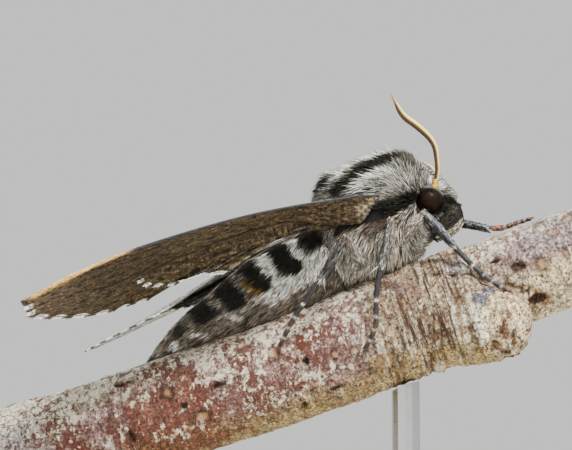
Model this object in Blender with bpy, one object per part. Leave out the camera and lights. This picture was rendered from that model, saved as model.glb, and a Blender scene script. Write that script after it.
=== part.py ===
"""Pine hawk-moth (Sphinx pinastri) at rest on a cut length of branch, on a display stand.

Blender 4.5, metres, +Z up. The moth faces +X, its left side is +Y, and the plane Y = 0 cuts its
body in half. The floor is Z = 0. Places on the moth and its perch are written in millimetres
about a datum point in the waist of the moth, DATUM_HEIGHT above the floor.
"""

import functools
import math
import random

import bmesh
import bpy
import numpy as np
from mathutils import Vector

MM = 0.001
WELD = 1e-7
GAP = 0.3
DATUM_HEIGHT = 48.0

# Perch
STEM_RADIUS = 5.35
LIMB_RADIUS = 4.85
STUB_RADIUS = 3.3
PERCH_HALF_LENGTH = 31.0
STEM_AXIS = [(-36, 0, -25.7), (-21.4, 0, -21.6), (-7.2, 0, -17.15), (4.9, 0, -13.0),
             (14.0, 0.3, -9.5), (19.0, 0.9, -7.2)]
STEM_SWELL = [0.98, 0.99, 1.0, 1.02, 1.06, 1.0]
LIMB_AXIS = [(13.0, 0.2, -10.1), (17.2, 0.8, -8.0), (21.5, 1.3, -6.15), (25.1, 1.5, -4.8), (36, 1.5, -1.0)]
LIMB_SWELL = [0.95, 1.0, 1.0, 1.0, 1.0]
STUB_AXIS = [(12.6, -0.2, -10.6), (17.0, -1.4, -10.5), (20.5, -3.0, -10.6), (23.2, -4.3, -10.8)]
STUB_SWELL = [1.15, 1.28, 1.2, 1.0]

# Display stand
BASE_SIZE = (56.0, 36.0, 4.0)
BASE_CORNER = 6.0
BASE_EDGE = 0.6
ROD_RADIUS = 1.4
ROD_X = {"stand_rod_back": -16.0, "stand_rod_front": 12.0}

# Body sections, each its top point (x, z), its bottom point (x, z) and its half width
HEAD_SECTIONS = [((13.85, 6.1), (14.0, -1.1), 3.0), ((14.9, 5.35), (14.8, -1.15), 3.05),
                 ((16.1, 4.35), (15.7, -0.6), 2.5), ((17.0, 3.4), (16.5, 0.5), 1.8),
                 ((17.45, 2.4), (17.25, 1.3), 0.9)]
THORAX_SECTIONS = [((2.75, 1.0), (6.4, -6.9), 4.1), ((3.3, 3.4), (7.3, -6.5), 4.7),
                   ((4.7, 5.2), (8.4, -5.9), 5.1), ((6.5, 6.1), (9.7, -5.4), 5.3),
                   ((8.6, 6.9), (11.0, -5.0), 5.2), ((10.5, 7.2), (12.2, -4.6), 4.8),
                   ((12.1, 6.9), (13.2, -3.4), 4.1), ((13.3, 6.2), (13.65, -1.4), 3.1)]
ABDOMEN_SECTIONS = [((2.4, 0.88), (6.1, -7.02), 4.0), ((0.4, -0.9), (4.1, -8.3), 4.15),
                    ((-2.1, -2.5), (1.5, -9.4), 3.95), ((-5.0, -4.45), (-1.7, -10.6), 3.45),
                    ((-7.6, -6.7), (-4.8, -11.5), 2.75), ((-10.6, -9.2), (-8.4, -12.6), 1.95),
                    ((-12.7, -11.6), (-11.3, -13.6), 1.15), ((-14.0, -13.4), (-13.5, -13.9), 0.4)]
BODY_SIDES = 20
BODY_RINGS_PER_SECTION = 2

# Coat. The sections above reach its tips, and each core lies a coat's depth below them
COAT_DEPTH = {"head": 0.35, "thorax": 0.55, "abdomen": 0.2}
LOCK_PROFILE = ((0.0, 0.7), (0.32, 1.0), (0.68, 0.7), (1.0, 0.12))
LOCK_SINK = 0.4
LOCK_LIFT = {"head": 0.4, "thorax": 0.6, "abdomen": 0.35}
COAT_SEED = 11

# Fields of locks: the first and last section, how many rows, the first and last turn from the top
# (degrees), how many in a row, length, width, thickness and the slant of their lie from the body's axis
THORAX_FIELDS = [(6.6, 1.7, 5, 0, 62, 3, 3.3, 2.1, 0.55, 6),
                 (6.8, 5.7, 2, 84, 128, 2, 2.7, 1.8, 0.5, 16),
                 (3.4, 3.4, 1, 116, 134, 2, 2.6, 1.6, 0.5, 16),
                 (6.6, 3.2, 3, 150, 178, 2, 2.6, 1.7, 0.5, 0),
                 (0.75, 0.75, 1, 8, 62, 3, 2.8, 1.7, 0.55, 4)]
ABDOMEN_FIELDS = [(0.9, 4.9, 4, 66, 66, 1, 2.3, 1.3, 0.45, 8),
                  (1.3, 5.3, 4, 106, 106, 1, 2.4, 1.3, 0.45, 12),
                  (5.9, 5.9, 1, 20, 84, 2, 2.2, 1.0, 0.4, 0)]
HEAD_FIELDS = [(0.6, 2.0, 2, 10, 40, 2, 1.9, 1.2, 0.4, -8),
               (1.0, 1.0, 1, 128, 150, 1, 1.6, 1.0, 0.4, 0)]

# Head parts, on the moth's left side
EYE_CENTRE = (14.7, 2.55, 1.8)
EYE_RADIUS = 1.35
PALP_AXIS = [(14.9, 1.3, -1.35), (16.0, 1.4, -0.7), (16.9, 1.4, 0.3), (17.1, 1.3, 1.4)]
PALP_RADII = [0.6, 0.95, 1.1, 0.8]
RIGHT_ANTENNA = [(15.15, 2.0, 3.3), (15.45, 2.5, 4.75), (15.45, 2.9, 5.9), (15.25, 3.4, 7.2),
                 (14.6, 3.8, 8.2), (13.5, 4.4, 9.15), (12.5, 4.8, 9.85), (11.9, 5.15, 10.55),
                 (11.5, 5.5, 11.3), (11.1, 5.8, 12.1)]
LEFT_ANTENNA = [(15.15, 2.0, 3.3), (15.1, 2.3, 4.6), (14.8, 2.7, 5.7), (14.1, 3.4, 6.4),
                (13.0, 4.5, 6.7), (11.7, 5.7, 6.7), (10.5, 6.8, 6.6), (9.5, 7.8, 6.5),
                (8.7, 8.6, 6.5), (7.9, 9.3, 6.7)]
ANTENNA_RADII = [0.26, 0.27, 0.29, 0.32, 0.36, 0.39, 0.38, 0.32, 0.2, 0.07]

# Wings: a side's three corners (root, apex and tornus) span their plane. A margin's points end its
# veins, as millimetres along the wing and back across it, and a vein's width is a share of the way
# to the next. A lift arches the rear edge over the abdomen
WING_CORNERS = {1: ((9.4, 4.75, 2.1), (-23.0, 19.0, -10.4), (-13.7, 4.5, -8.45)),
                -1: ((9.4, 4.75, 2.1), (-23.5, 19.0, -9.95), (-13.7, 4.5, -8.2))}
MEMBRANE = 0.5
VEIN_RIDGE = 0.16
RIDGE_FADE = 0.6
SAG_FADE = 1.6
SAG_SKEW = 1.3
SAG_FULLNESS = 2.5
CAMBER_START = 0.1
LIFT_SKEW = 0.8
VEIN_WIDTH = 0.13
FOREWING_MARGIN = [(37.8, 0.0), (37.1, 1.2), (36.6, 2.9), (36.2, 4.6), (34.3, 6.2), (32.1, 7.6),
                   (29.4, 9.0), (27.0, 9.5), (25.0, 9.4), (22.9, 9.4)]
FOREWING_ROOT_EDGE = ((-0.5, -0.9), (-1.6, 1.9))
FOREWING_BOW = (-4.95, 0.3)
FOREWING_CAMBER = 0.5
FOREWING_LIFT = 1.6
FOREWING_STEPS = 9
HINDWING_MARGIN = [(25.7, 0.4), (25.2, 1.7), (24.1, 2.7), (22.6, 3.5), (21.1, 3.9), (19.7, 3.8),
                   (18.2, 3.5), (16.1, 4.4)]
HINDWING_ROOT_EDGE = ((1.0, -0.6), (-0.4, 2.2))
HINDWING_BOW = (-3.6, 0.0)
HINDWING_DEPTH = (1.15, 1.5)
HINDWING_LIFT = 1.9
HINDWING_STEPS = 7
FOREWING = (FOREWING_MARGIN, FOREWING_ROOT_EDGE, FOREWING_BOW, (0.0, 0.0), (FOREWING_CAMBER, FOREWING_LIFT),
            FOREWING_STEPS)
HINDWING = (HINDWING_MARGIN, HINDWING_ROOT_EDGE, HINDWING_BOW, HINDWING_DEPTH, (0.0, HINDWING_LIFT),
            HINDWING_STEPS)

# Legs, on the moth's left side: (path, radii) of the thigh, shin and foot, and of the shin's spur
FORE_LEG_RIGHT = [
    ([(11.6, 3.0, -2.6), (13.2, 4.3, -0.9), (14.2, 4.7, 0.2)], [0.6, 0.62, 0.42]),
    ([(14.0, 4.7, 0.3), (15.4, 4.7, -1.1), (17.0, 4.4, -2.9)], [0.42, 0.52, 0.4]),
    ([(16.8, 4.4, -2.7), (18.0, 4.2, -4.0), (19.4, 4.3, -5.4), (21.0, 4.6, -6.7), (22.6, 4.9, -7.7)],
     [0.36, 0.27, 0.27, 0.26, 0.2]),
]
FORE_LEG_LEFT = [
    ([(12.2, 2.6, -2.4), (14.2, 3.6, -1.0), (16.2, 4.0, 0.5)], [0.6, 0.58, 0.42]),
    ([(16.0, 4.0, 0.55), (18.0, 3.9, 0.4), (20.4, 3.6, -0.2)], [0.42, 0.5, 0.38]),
    ([(20.2, 3.6, -0.15), (21.8, 3.5, -0.1), (23.2, 3.4, 0.35), (24.6, 3.3, 0.75)],
     [0.34, 0.27, 0.26, 0.2]),
]
MID_LEG = [
    ([(10.2, 3.6, -3.6), (10.8, 5.0, -2.0), (11.0, 6.0, -0.7)], [0.62, 0.6, 0.42]),
    ([(11.0, 6.0, -0.6), (10.7, 6.7, -2.7), (10.1, 7.1, -5.2)], [0.4, 0.48, 0.38]),
    ([(10.1, 7.1, -5.0), (9.6, 7.0, -8.2), (9.5, 6.6, -10.9), (8.9, 6.2, -12.4), (8.3, 5.9, -13.4)],
     [0.34, 0.27, 0.26, 0.25, 0.2]),
    ([(10.2, 7.0, -4.4), (9.2, 7.5, -5.3), (8.3, 7.7, -6.1)], [0.25, 0.25, 0.08]),
]
HIND_LEG = [
    ([(8.0, 3.4, -4.8), (7.2, 4.9, -3.4), (6.4, 6.0, -2.3)], [0.62, 0.58, 0.42]),
    ([(6.5, 6.0, -2.2), (5.5, 6.6, -4.2), (4.3, 7.0, -6.3)], [0.4, 0.48, 0.38]),
    ([(4.4, 7.0, -6.1), (2.9, 6.9, -8.2), (1.6, 6.5, -10.0), (0.7, 6.1, -11.5), (-0.1, 5.6, -13.0)],
     [0.34, 0.27, 0.26, 0.25, 0.2]),
    ([(4.6, 6.9, -5.8), (4.5, 7.4, -6.9), (4.7, 7.5, -8.0)], [0.25, 0.25, 0.08]),
]


def point(place, side=1):
    """Turn a place in millimetres about the datum, mirrored for side -1, into metres."""
    x, y, z = place
    return Vector((x * MM, side * y * MM, (z + DATUM_HEIGHT) * MM))


def clear_scene():
    """Remove every object of the scene."""
    for thing in list(bpy.data.objects):
        bpy.data.objects.remove(thing, do_unlink=True)


def new_collection(name):
    """Make a collection of the scene."""
    collection = bpy.data.collections.new(name)
    bpy.context.scene.collection.children.link(collection)
    return collection


def material(name, colour, roughness, metallic=0.0):
    """Make a Principled material."""
    finish = bpy.data.materials.new(name)
    finish.use_nodes = True
    shader = finish.node_tree.nodes["Principled BSDF"]
    shader.inputs["Base Color"].default_value = (*colour, 1.0)
    shader.inputs["Roughness"].default_value = roughness
    shader.inputs["Metallic"].default_value = metallic
    return finish


def smooth_path(points, steps):
    """Read a smooth curve through the points, with this many steps from one point to the next."""
    given = np.array(points, float)
    padded = np.vstack([2 * given[0] - given[1], given, 2 * given[-1] - given[-2]])
    found = []
    for i in range(len(given) - 1):
        a, b, c, d = padded[i:i + 4]
        for t in np.arange(steps) / steps:
            found.append(b + 0.5 * t * (c - a + t * (2 * a - 5 * b + 4 * c - d + t * (3 * (b - c) + d - a))))
    found.append(given[-1])
    return np.array(found)


def mesh_object(name, vertices, faces, collection):
    """Make a mesh object, its faces turned outward."""
    mesh = bpy.data.meshes.new(name)
    mesh.from_pydata(vertices, [], faces)
    bm = bmesh.new()
    bm.from_mesh(mesh)
    bmesh.ops.recalc_face_normals(bm, faces=bm.faces)
    bm.to_mesh(mesh)
    bm.free()
    made = bpy.data.objects.new(name, mesh)
    collection.objects.link(made)
    return made


def loft(name, rings, collection):
    """Skin rings of equally many points, with a flat cap at each end."""
    sides = len(rings[0])
    vertices = [tuple(p) for ring in rings for p in ring]
    faces = []
    for i in range(len(rings) - 1):
        for j in range(sides):
            k = (j + 1) % sides
            faces.append((i * sides + j, i * sides + k, (i + 1) * sides + k, (i + 1) * sides + j))
    faces.append(tuple(range(sides)))
    faces.append(tuple((len(rings) - 1) * sides + j for j in range(sides)))
    return mesh_object(name, vertices, faces, collection)


def body_rings(sections, swell=0.0):
    """Read elliptical rings through the sections of a body part, swollen by some millimetres."""
    rows = smooth_path([(*top, *bottom, half) for top, bottom, half in sections], BODY_RINGS_PER_SECTION)
    rings = []
    for top_x, top_z, bottom_x, bottom_z, half_width in rows:
        centre = Vector(((top_x + bottom_x) / 2, 0, (top_z + bottom_z) / 2))
        up = Vector((top_x - bottom_x, 0, top_z - bottom_z)) / 2
        up *= (up.length + swell) / up.length
        ring = []
        for k in range(BODY_SIDES):
            turn = 2 * math.pi * k / BODY_SIDES
            across = Vector((0, (half_width + swell) * math.sin(turn), 0))
            ring.append(point(centre + up * math.cos(turn) + across))
        rings.append(ring)
    return rings


def body_part(name, sections, collection, swell=0.0):
    """Loft a body part."""
    return loft(name, body_rings(sections, swell), collection)


def on_body(sections, depth, t, turn):
    """Find the place on a body part's core at section t, turned from the top towards the left."""
    rows = np.array([(*top, *bottom, half) for top, bottom, half in sections])
    last = len(rows) - 1
    inside = min(max(t, 0.0), float(last))
    i = min(int(inside), last - 1)
    row = rows[i] + (rows[i + 1] - rows[i]) * (t - i)
    centre = np.array([(row[0] + row[2]) / 2, 0, (row[1] + row[3]) / 2])
    up = np.array([row[0] - row[2], 0, row[1] - row[3]]) / 2
    up *= max(1 - depth / np.linalg.norm(up), 0.1)
    half = max(row[4] - depth, 0.1)
    return centre + up * math.cos(turn) + np.array([0, half * math.sin(turn), 0])


def unit(vector):
    """Scale a vector to length 1."""
    return vector / np.linalg.norm(vector)


def lock(name, surface, t, turn, way, size, collection):
    """Lay one flat, tapering lock along the core of a body part.

    surface finds a place on the core from its section and turn. way is 1 where the coat lies towards
    later sections and -1 where it lies towards earlier ones. size is the lock's length, width,
    thickness, slant in degrees and lift.
    """
    length, width, thickness, slant, lift = size
    step = 0.05
    here = surface(t, turn)
    per_section = np.linalg.norm(surface(t + way * step, turn) - here) / step
    per_turn = np.linalg.norm(surface(t, turn + step) - here) / step
    side = 1 if turn >= 0 else -1
    t_rate = way * math.cos(math.radians(slant)) * length / per_section
    turn_rate = side * math.sin(math.radians(slant)) * length / per_turn
    rings = []
    for u, share in LOCK_PROFILE:
        at_t, at_turn = t + t_rate * u, turn + turn_rate * u
        place = surface(at_t, at_turn)
        ahead = unit(surface(at_t + t_rate * step, at_turn + turn_rate * step) - place)
        round_it = surface(at_t, at_turn + step) - place
        across = unit(round_it - (round_it @ ahead) * ahead)
        out = unit(np.cross(across, ahead))
        out *= 1 if out @ (place - surface(at_t, at_turn + math.pi)) > 0 else -1
        middle = place + out * (lift * u ** 0.7 - LOCK_SINK * (1 - u) ** 2)
        half_width, half_thickness = width * share / 2, thickness * share / 2
        rings.append([point(middle + across * half_width), point(middle + out * half_thickness),
                      point(middle - across * half_width), point(middle - out * half_thickness)])
    return loft(name, rings, collection)


def coat(thing, sections, fields, way, collection, draw):
    """Fuse fields of locks to a body part, on both its sides."""
    surface = functools.partial(on_body, sections, COAT_DEPTH[thing.name])
    pieces = []
    for t_from, t_to, rows, turn_from, turn_to, count, length, width, thickness, slant in fields:
        for row in range(rows):
            t = t_from + (t_to - t_from) * row / max(rows - 1, 1)
            for k in range(count):
                stagger = 0.5 * (row % 2) if rows > 1 and count > 1 else 0.0
                turn = turn_from + (turn_to - turn_from) * (k + stagger) / max(count - 0.5, 1)
                for side in ((1,) if turn == 0 else (1, -1)):
                    size = (length * draw.uniform(0.8, 1.15), width * draw.uniform(0.85, 1.1), thickness,
                            slant + draw.uniform(-9, 9), LOCK_LIFT[thing.name] * draw.uniform(0.8, 1.2))
                    place = math.radians(side * (turn + draw.uniform(-3, 3)))
                    pieces.append(lock(f"{thing.name}_lock_{len(pieces)}", surface,
                                       t + draw.uniform(-0.15, 0.15), place, way, size, collection))
    fuse(thing, pieces, "MANIFOLD")


def tube(name, path, radii, collection, side=1, resolution=2, swell=0.0):
    """Make a tapering tube with closed ends as a mesh, by way of a bevelled curve."""
    curve = bpy.data.curves.new(name, "CURVE")
    curve.dimensions = "3D"
    curve.bevel_depth = MM
    curve.bevel_resolution = resolution
    curve.use_fill_caps = True
    spline = curve.splines.new("POLY")
    spline.points.add(len(path) - 1)
    for knot, place, radius in zip(spline.points, path, radii):
        knot.co = (*point(place, side), 1.0)
        knot.radius = radius + swell
    guide = bpy.data.objects.new(name + "_guide", curve)
    collection.objects.link(guide)
    bpy.context.view_layer.update()
    evaluated = guide.evaluated_get(bpy.context.evaluated_depsgraph_get())
    mesh = bpy.data.meshes.new_from_object(evaluated)
    mesh.name = name
    bm = bmesh.new()
    bm.from_mesh(mesh)
    bmesh.ops.remove_doubles(bm, verts=bm.verts, dist=WELD)
    bmesh.ops.recalc_face_normals(bm, faces=bm.faces)
    bm.to_mesh(mesh)
    bm.free()
    made = bpy.data.objects.new(name, mesh)
    made.matrix_world = guide.matrix_world
    collection.objects.link(made)
    bpy.data.objects.remove(guide)
    return made


def smooth_tube(name, path, radii, collection, side=1, steps=3, resolution=2, swell=0.0):
    """Make a tube along a smooth curve through the path."""
    rows = smooth_path([(*place, radius) for place, radius in zip(path, radii)], steps)
    return tube(name, rows[:, :3], rows[:, 3], collection, side, resolution, swell)


def ball(name, centre, radius, collection, side=1, segments=18):
    """Make a sphere whose poles point sideways."""
    bm = bmesh.new()
    bmesh.ops.create_uvsphere(bm, u_segments=segments, v_segments=segments // 2, radius=radius * MM)
    mesh = bpy.data.meshes.new(name)
    bm.to_mesh(mesh)
    bm.free()
    made = bpy.data.objects.new(name, mesh)
    collection.objects.link(made)
    made.location = point(centre, side)
    made.rotation_euler = (math.pi / 2, 0, 0)
    return made


def apply_modifiers(thing):
    """Replace an object's mesh with its evaluated mesh."""
    bpy.context.view_layer.update()
    evaluated = thing.evaluated_get(bpy.context.evaluated_depsgraph_get())
    mesh = bpy.data.meshes.new_from_object(evaluated)
    mesh.name = thing.name
    thing.modifiers.clear()
    thing.data = mesh


def keep_largest(thing):
    """Drop every closed surface of a mesh but the largest. Surfaces that only share a point or an edge are apart."""
    bm = bmesh.new()
    bm.from_mesh(thing.data)
    bmesh.ops.remove_doubles(bm, verts=bm.verts, dist=WELD)
    left = set(bm.faces)
    shells = []
    while left:
        front = [left.pop()]
        shell = set(front)
        while front:
            face = front.pop()
            for edge in face.edges:
                if len(edge.link_faces) != 2:
                    continue
                for other in edge.link_faces:
                    if other in left:
                        left.remove(other)
                        shell.add(other)
                        front.append(other)
        shells.append(shell)
    largest = max(shells, key=len)
    bmesh.ops.delete(bm, geom=[f for f in bm.faces if f not in largest], context="FACES")
    bm.to_mesh(thing.data)
    bm.free()


def fuse(thing, pieces, solver="EXACT"):
    """Join closed pieces to an object with one union, and remove them."""
    together = bpy.data.collections.new(thing.name + "_pieces")
    bpy.context.scene.collection.children.link(together)
    for piece in pieces:
        for owner in piece.users_collection:
            owner.objects.unlink(piece)
        together.objects.link(piece)
    union = thing.modifiers.new("fuse", "BOOLEAN")
    union.operation = "UNION"
    union.operand_type = "COLLECTION"
    union.solver = solver
    union.collection = together
    apply_modifiers(thing)
    for piece in pieces:
        bpy.data.objects.remove(piece)
    bpy.data.collections.remove(together)
    keep_largest(thing)


def cut_clear(thing, cutters):
    """Cut an object clear of its neighbours' swollen forms, and keep its largest surface."""
    for cutter in cutters:
        cut = thing.modifiers.new("clear of " + cutter.name, "BOOLEAN")
        cut.operation = "DIFFERENCE"
        cut.object = cutter
        apply_modifiers(thing)
        keep_largest(thing)


def finish(thing, look, smooth=True):
    """Give an object its material and its shading."""
    thing.data.materials.clear()
    thing.data.materials.append(look)
    if smooth:
        thing.data.shade_smooth()
        thing.data.set_sharp_from_angle(angle=math.radians(40))


def wing_frame(side):
    """Span the plane of a side's wings: root, way to the apex, way back and way under them."""
    root, apex, tornus = (np.array(corner, float) for corner in WING_CORNERS[side])
    along = (apex - root) / np.linalg.norm(apex - root)
    back = (tornus - root) - ((tornus - root) @ along) * along
    back /= np.linalg.norm(back)
    under = np.cross(back, along)
    return root, along, back, under


def wing(name, shape, collection, side, swell=0.0):
    """Build a wing as a fan of vein lines from its root edge to its outer margin.

    Each margin point ends a vein, whose ridge stands on both faces of the membrane.
    """
    margin, root_edge, bow, depth, (camber, lift), steps = shape
    root, along, back, under = wing_frame(side)
    veins = len(margin)
    ridges = []
    for i in range(veins):
        ridges.extend([(i - VEIN_WIDTH, 0), (i, 1), (i + VEIN_WIDTH, 0)] if 0 < i < veins - 1 else [(i, 0)])
    upper, lower = [], []
    for line, ridge in ridges:
        share = line / (veins - 1)
        start = np.array(root_edge[0]) * (1 - share) + np.array(root_edge[1]) * share
        end = np.array([np.interp(line, range(veins), [knot[axis] for knot in margin]) for axis in (0, 1)])
        sag = bow[0] * (1 - share) ** SAG_FADE + bow[1] * share ** 2
        for step in range(steps + 1):
            u = step / steps
            s, c = start * (1 - u) + end * u
            c += sag * (1 - abs(2 * u ** SAG_SKEW - 1) ** SAG_FULLNESS) + swell * (2 * share - 1)
            rise = camber * math.sin(math.pi * share) * math.sin(math.pi * min(1.0, u + CAMBER_START))
            rise += lift * share ** 2 * math.sin(math.pi * u ** LIFT_SKEW)
            middle = depth[0] * (1 - share) + depth[1] * share - rise
            half = MEMBRANE / 2 + swell + ridge * VEIN_RIDGE * (1 - RIDGE_FADE * u)
            for face, rows in ((-1, upper), (1, lower)):
                place = root + along * s + back * c + under * (middle + face * half)
                rows.append(point(place, side))
    return wing_shell(name, upper, lower, len(ridges), steps + 1, collection)


def wing_shell(name, upper, lower, lines, length, collection):
    """Close two like grids of points, split into triangles alike, with a band round the edge."""
    count = lines * length
    faces = []
    for i in range(lines - 1):
        for j in range(length - 1):
            a, b = i * length + j, i * length + j + 1
            c, d = (i + 1) * length + j + 1, (i + 1) * length + j
            faces.extend([(a, b, c), (a, c, d)])
            faces.extend([(a + count, c + count, b + count), (a + count, d + count, c + count)])
    rim = list(range(length))
    rim += [i * length + length - 1 for i in range(1, lines)]
    rim += [(lines - 1) * length + j for j in range(length - 2, -1, -1)]
    rim += [i * length for i in range(lines - 2, 0, -1)]
    for a, b in zip(rim, rim[1:] + rim[:1]):
        faces.extend([(a, b, b + count), (a, b + count, a + count)])
    return mesh_object(name, upper + lower, faces, collection)


def leg(name, parts, collection, side, swell=0.0):
    """Build a leg of thigh, shin, foot and spur."""
    pieces = [smooth_tube(f"{name}_{i}", path, radii, collection, side, steps=2, resolution=1, swell=swell)
              for i, (path, radii) in enumerate(parts)]
    first = pieces[0]
    first.name = name
    fuse(first, pieces[1:])
    return first


def perch_pieces(collection, swell=0.0):
    """Make the three tubes of the branch."""
    stem = smooth_tube("stem", STEM_AXIS, [STEM_RADIUS * k for k in STEM_SWELL], collection,
                       steps=3, resolution=5, swell=swell)
    limb = smooth_tube("limb", LIMB_AXIS, [LIMB_RADIUS * k for k in LIMB_SWELL], collection,
                       steps=3, resolution=5, swell=swell)
    stub = smooth_tube("stub", STUB_AXIS, [STUB_RADIUS * k for k in STUB_SWELL], collection,
                       steps=3, resolution=4, swell=swell)
    return [stem, limb, stub]


def perch(name, collection):
    """Fuse the branch, and saw both its ends off upright."""
    stem, limb, stub = perch_pieces(collection)
    stem.name = name
    fuse(stem, [limb, stub])
    bm = bmesh.new()
    bm.from_mesh(stem.data)
    for end in (-1, 1):
        everything = list(bm.verts) + list(bm.edges) + list(bm.faces)
        cut = bmesh.ops.bisect_plane(bm, geom=everything, dist=WELD, clear_outer=True,
                                     plane_co=(end * PERCH_HALF_LENGTH * MM, 0, 0), plane_no=(end, 0, 0))
        edges = [e for e in cut["geom_cut"] if isinstance(e, bmesh.types.BMEdge)]
        bmesh.ops.contextual_create(bm, geom=edges)
    bmesh.ops.recalc_face_normals(bm, faces=bm.faces)
    bm.to_mesh(stem.data)
    bm.free()
    return stem


def stand_base(name, collection):
    """Make the flat base, with round corners and softened edges."""
    length, width, height = (size * MM for size in BASE_SIZE)
    bm = bmesh.new()
    bmesh.ops.create_cube(bm, size=1.0)
    bmesh.ops.scale(bm, vec=(length, width, height), verts=bm.verts)
    bmesh.ops.translate(bm, vec=(0, 0, height / 2), verts=bm.verts)
    upright = [e for e in bm.edges if abs(e.verts[0].co.z - e.verts[1].co.z) > height / 2]
    bmesh.ops.bevel(bm, geom=upright, offset=BASE_CORNER * MM, segments=6, profile=0.5, affect="EDGES")
    top = [e for e in bm.edges if min(v.co.z for v in e.verts) > height - WELD]
    bmesh.ops.bevel(bm, geom=top, offset=BASE_EDGE * MM, segments=2, profile=0.5, affect="EDGES")
    mesh = bpy.data.meshes.new(name)
    bm.to_mesh(mesh)
    bm.free()
    made = bpy.data.objects.new(name, mesh)
    collection.objects.link(made)
    return made


def stand_rod(name, x, collection, cutters):
    """Make a rod from just above the base into the branch, cut to the branch's underside."""
    foot = BASE_SIZE[2] + GAP - DATUM_HEIGHT
    head = np.interp(x, [p[0] for p in STEM_AXIS], [p[2] for p in STEM_AXIS])
    made = tube(name, [(x, 0, foot), (x, 0, head)], [ROD_RADIUS, ROD_RADIUS], collection, resolution=4)
    cut_clear(made, cutters)
    return made


def side_pieces(side, looks):
    """List what grows from the body on one side: its name, its maker and its material."""
    word = "left" if side > 0 else "right"
    feeler_path = LEFT_ANTENNA if side > 0 else RIGHT_ANTENNA
    fore_leg = FORE_LEG_LEFT if side > 0 else FORE_LEG_RIGHT
    found = [
        ("palp_" + word, lambda name, where, swell: smooth_tube(
            name, PALP_AXIS, PALP_RADII, where, side, swell=swell), looks["fur"]),
        ("antenna_" + word, lambda name, where, swell: smooth_tube(
            name, feeler_path, ANTENNA_RADII, where, side, resolution=1, swell=swell), looks["feeler"]),
        ("forewing_" + word, lambda name, where, swell: wing(
            name, FOREWING, where, side, swell), looks["membrane"]),
        ("hindwing_" + word, lambda name, where, swell: wing(
            name, HINDWING, where, side, swell), looks["membrane"]),
    ]
    for kind, parts in (("fore", fore_leg), ("mid", MID_LEG), ("hind", HIND_LEG)):
        found.append((f"leg_{kind}_{word}", lambda name, where, swell, parts=parts: leg(
            name, parts, where, side, swell), looks["shell"]))
    return found


def core_cutters(collection, gap):
    """Make the three cores of the body, swollen by a gap."""
    parts = (("head", HEAD_SECTIONS), ("thorax", THORAX_SECTIONS), ("abdomen", ABDOMEN_SECTIONS))
    return {name: body_part(f"{name}_{gap}", sections, collection, gap - COAT_DEPTH[name])
            for name, sections in parts}


def build():
    """Build every node."""
    clear_scene()
    moth = new_collection("pine_hawk_moth")
    guides = new_collection("guides")
    guides.hide_render = True

    looks = {
        "fur": material("grey fur", (0.30, 0.27, 0.25), 0.9),
        "belly": material("banded fur", (0.20, 0.18, 0.16), 0.9),
        "membrane": material("wing scales", (0.16, 0.11, 0.08), 0.8),
        "shell": material("dark leg scales", (0.07, 0.065, 0.065), 0.7),
        "eye": material("eye", (0.03, 0.012, 0.008), 0.15),
        "feeler": material("feeler", (0.55, 0.38, 0.2), 0.6),
        "bark": material("bark", (0.45, 0.33, 0.29), 0.9),
        "base": material("painted wood", (0.5, 0.49, 0.47), 0.5),
        "rod": material("steel", (0.55, 0.55, 0.55), 0.35, 1.0),
    }
    branch = perch_pieces(guides, GAP)
    far, near = core_cutters(guides, GAP), core_cutters(guides, 0.1 * GAP)

    finish(perch("perch_branch", moth), looks["bark"])
    finish(stand_base("stand_base", moth), looks["base"])
    for name, x in ROD_X.items():
        finish(stand_rod(name, x, moth, branch[:1]), looks["rod"])

    sockets, growths = [], []
    for side, word in ((1, "left"), (-1, "right")):
        sockets.append(ball("socket_" + word, EYE_CENTRE, EYE_RADIUS + GAP, guides, side))
        finish(ball("eye_" + word, EYE_CENTRE, EYE_RADIUS, moth, side), looks["eye"])
        for name, make, look in side_pieces(side, looks):
            piece = make(name, moth, 0.0)
            cut_clear(piece, list(far.values()) + (branch if name.startswith("leg") else []))
            finish(piece, look)
            growth = make(name + "_clear", guides, 0.9 * GAP)
            cut_clear(growth, list(near.values()))
            growths.append(growth)

    draw = random.Random(COAT_SEED)
    bodies = (("thorax", THORAX_SECTIONS, THORAX_FIELDS, -1, looks["fur"]),
              ("abdomen", ABDOMEN_SECTIONS, ABDOMEN_FIELDS, 1, looks["belly"]),
              ("head", HEAD_SECTIONS, HEAD_FIELDS, 1, looks["fur"]))
    for name, sections, fields, way, look in bodies:
        core = body_part(name, sections, moth, -COAT_DEPTH[name])
        coat(core, sections, fields, way, guides, draw)
        cut_clear(core, [far[other] for other in far if other != name] + branch + sockets + growths)
        finish(core, look)

    for guide in list(guides.objects):
        bpy.data.objects.remove(guide)
    bpy.data.collections.remove(guides)


if __name__ == "__main__":
    build()
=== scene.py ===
"""Looks of a pine hawk-moth on its perch: skin, coat, wings, feelers, legs, bark and stand.

Blender 4.5, metres, +Z up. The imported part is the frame. Places on the moth and its perch are
written in millimetres about the datum point in the moth's waist, as in the part's own source, with
the left side at +Y, and are turned into the frame's metres when a mesh is made.
"""

import logging
import math
from collections.abc import Callable, Sequence
from dataclasses import dataclass
from enum import Enum

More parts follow.
